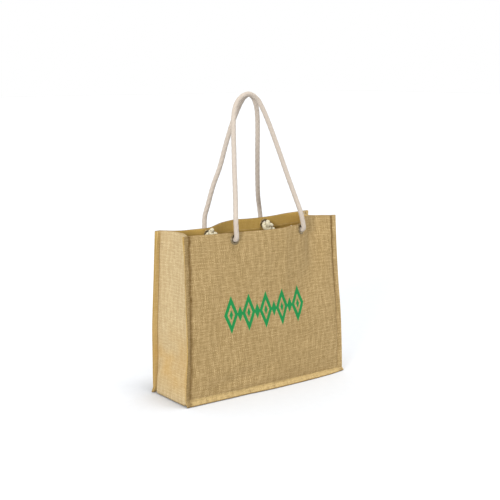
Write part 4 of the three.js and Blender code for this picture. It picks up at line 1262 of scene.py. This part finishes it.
def joined(parts):
    """Vertices, faces and places of several pieces as one."""
    verts, faces, uvs, count = [], [], [], 0
    for part_verts, part_faces, part_uvs in parts:
        verts.append(part_verts)
        uvs.append(part_uvs)
        faces += [[k + count for k in face] for face in part_faces]
        count += len(part_verts)
    return np.concatenate(verts), faces, np.concatenate(uvs)


def knot_shape():
    """A stopper knot around +Z: the rope's turns, and its cut end, which points to +X."""
    look = {"start": (0, 1, 0), "groove": KNOT_GROOVE, "around": KNOT_AROUND}
    turns = sweep(knot_line(), KNOT_STRAND, lay=KNOT_LAY, **look)
    lean = math.radians(KNOT_TAIL_LEAN)
    tail_way = np.array([math.cos(lean), 0, -math.sin(lean)])
    tail_steps = np.linspace(*KNOT_TAIL, KNOT_TAIL_STEPS)
    last = KNOT_TAIL_STEPS - 1
    swell = np.interp(np.arange(KNOT_TAIL_STEPS), [0, last - 2, last], [1, 1, KNOT_TAIL_END])
    tail = sweep(tail_way * tail_steps[:, None], swell * KNOT_STRAND, **look)
    return joined([turns, tail])


def make_knot(end, rise, middle, axis):
    """A knot on its eyelet. Gives the height of its top over the cloth's face too."""
    verts, faces, uvs = knot_shape()
    roll = math.radians(end if axis[1] < 0 else 180 - end)
    verts = verts @ np.array(Matrix.Rotation(roll, 3, "Z")).T + [0, rise, 0]
    wide = np.hypot(verts[:, 0], verts[:, 1]) > EYELET_BORE - GAP
    seat = -HEM - 2 * GAP - EYELET_PROUD - verts[wide, 2].max()
    top = verts[:, 2].max() + seat
    up = unit(np.array([0, 0, 1]) - axis * axis[2])
    frame_axes = np.array([np.cross(up, axis), up, axis])
    return ((verts + [0, 0, seat]) @ frame_axes + middle, faces, uvs), top


def make_handle(face, panel, route, material, knot_material):
    """A rope and the knots that stop it inside the bag."""
    knots, tops = [], []
    for side, eyelet in zip(("left", "right"), panel["eyelets"]):
        shape, top = make_knot(*KNOTS[f"{face}_{side}"], *eyelet)
        piece = mesh_object(f"{face}_{side}_knot", *shape, knot_material)
        knots.append(finish_piece(piece, "cotton_rope", f"knot_{face}_{side}"))
        tops.append(top)
    line = rope_line(panel["eyelets"], route, tops)
    rope = mesh_object(f"{face}_rope", *sweep(line, ROPE / 2), material)
    finish_piece(rope, "cotton_rope", f"handle_{face}")


def make_eyelets(face, panel, material):
    verts, faces = lathe(eyelet_profile(), EYELET_SIDES)
    for side, (middle, axis) in zip(("left", "right"), panel["eyelets"]):
        placed = along_axis(verts, middle, axis)
        ring = mesh_object(f"{face}_{side}_ring", placed, faces, None, material)
        finish_piece(ring, "eyelet_metal", f"eyelet_{face}_{side}")


def stitch_row(points, normals):
    """Vertices, faces and places of stitches along a line on a face: short arched threads."""
    arc = arc_along(points)
    arch = np.sin(np.linspace(0, math.pi, STITCH_POINTS)) * STITCH_ARCH - STITCH_SUNK
    made = []
    for start in np.arange(STITCH_PITCH, arc[-1] - STITCH_PITCH, STITCH_PITCH):
        marks = start + np.linspace(0, STITCH_LONG, STITCH_POINTS) + rng.normal() * STITCH_UNEVEN
        normal = unit(points_at(normals, arc, marks))
        line = points_at(points, arc, marks) + normal * (STITCH_THICK * arch)[:, None]
        look = {"start": normal[0], "lay": 1, "groove": 0, "around": STITCH_AROUND}
        made.append(sweep(line, STITCH_THICK / 2, **look))
    return made


def margin_lines(grid, normals, side_rows, bottom_columns=None):
    """Lines beside the seams of a grid, on its margins, with their normals."""
    low = MARGIN_CELLS
    share = STITCH_BESIDE / (MARGIN / MARGIN_CELLS)
    seams = [
        ((side_rows, low), (side_rows, low - 1)),
        ((side_rows, grid.shape[1] - 1 - low), (side_rows, grid.shape[1] - low)),
    ]
    if bottom_columns is not None:
        seams.append(((low, bottom_columns), (low - 1, bottom_columns)))
    return [(mix(grid[seam], grid[beside], share), unit(normals[beside])) for seam, beside in seams]


def hem_lines(panel):
    """Lines over the hem's lower fold, on the face and inside, between the seams."""
    depths, _ = top_depths()
    row = len(panel["points"]) - len(depths) + 2
    columns = slice(MARGIN_CELLS + 2, -MARGIN_CELLS - 2)
    normal = unit(panel["normals"][row, columns])
    face = panel["outer"][row, columns]
    return [(face, normal), (face - normal * HEM, -normal)]


def make_stitches(name, lines, material):
    parts = [part for line in lines for part in stitch_row(*line)]
    return finish_piece(mesh_object(name, *joined(parts), material), "jute_panel")


def make_fringe(name, edges, material):
    """Loose fibres along cut edges: each edge is a line of points and the way the fibres stand."""
    verts, faces = [], []
    for line, ways in edges:
        arc = arc_along(line)
        for at in np.arange(FRINGE_FROM, arc[-1], 1 / FRINGE_COUNT):
            at = at + rng.uniform(-0.5, 0.5) / FRINGE_COUNT
            root, way = points_at(line, arc, at), points_at(ways, arc, at)
            way = unit(way + rng.normal(size=3) * FRINGE_SPREAD)
            tip = way * rng.uniform(*FRINGE_SHARES) * FRINGE_LONG
            side = unit(np.cross(tip, rng.normal(size=3))) * FRINGE_THICK
            other = unit(np.cross(tip, side)) * FRINGE_THICK
            first = len(verts)
            base = root - way * FRINGE_ROOT
            ends = [base + side, base - side * 0.5 + other, base - side * 0.5 - other, root + tip]
            verts += [np.maximum(end, [-1, -1, FRINGE_LOWEST]) for end in ends]
            faces += [[first + k for k in face] for face in ((0, 1, 3), (1, 2, 3), (2, 0, 3), (2, 1, 0))]
    return finish_piece(mesh_object(name, verts, faces, None, material), "jute_panel")


def margin_edges(panel):
    """The cut edges of a panel's margins with the way out of the cloth, for their fringe."""
    points = mix(panel["outer"], panel["outer"] - panel["normals"] * CLOTH, 0.5)
    low = MARGIN_CELLS
    sides = points[low:-EDGE_ROWS]
    edges = [(sides[:, 0], sides[:, low]), (sides[:, -1], sides[:, -1 - low]), (points[0], points[low])]
    return [(edge, unit(edge - seam)) for edge, seam in edges]


make_camera()
metal = pressed_metal()
jute_front = jute("jute_front", *PANEL_TONES, seed=1.0, band=True)
jute_back = jute("jute_back", *PANEL_TONES, seed=5.0)
# Paler tones: painted light where the gusset faces the key light.
jute_gusset = jute("jute_gusset", *LIT_GUSSET_TONES, seed=9.0, warm=0.5)
rope_cotton = cotton("rope_cotton", *ROPE_TONES)
# A warmer, yellower copy of the rope's cotton: painted warm light from inside the bag.
knot_cotton = cotton("knot_cotton", *WARM_LIT_KNOT_TONES)
sewing = thread("sewing_thread", *THREAD_TONES)
# Darker thread for the side seams' grooves: painted shade.
shaded_sewing = thread("shaded_thread", *SHADED_THREAD_TONES)
fibres = mottled("loose_fibre", FIBRE_TONES, roughness=0.85, scale=400.0)

front = make_panel("front_cloth", FRONT, jute_front)
back = make_panel("back_cloth", BACK, jute_back)
strip = make_strip(front, back, jute_gusset)
make_handle("front", front, FRONT_ROUTE, rope_cotton, knot_cotton)
make_handle("back", back, BACK_ROUTE, rope_cotton, knot_cotton)
make_eyelets("front", front, metal)
make_eyelets("back", back, metal)
rows, columns = slice(MARGIN_CELLS, -EDGE_ROWS), slice(MARGIN_CELLS, -MARGIN_CELLS)
for face, panel in (("front", front), ("back", back)):
    finish_piece(panel["cloth"], "jute_panel", f"{face}_panel")
    *side_lines, low_line = margin_lines(panel["outer"], panel["normals"], rows, columns)
    side_sewn = make_stitches(f"{face}_side_stitches", side_lines, shaded_sewing)
    sewn = make_stitches(f"{face}_stitches", [low_line, *hem_lines(panel)], sewing)
    fringe = make_fringe(f"{face}_fringe", margin_edges(panel), fibres)
finish_piece(strip["cloth"], "jute_gusset", "gusset_strip")
strip_lines = margin_lines(strip["outer"], strip["normals"], slice(EDGE_ROWS, -EDGE_ROWS))
strip_stitches = make_stitches("gusset_stitches", strip_lines, shaded_sewing)
make_room()
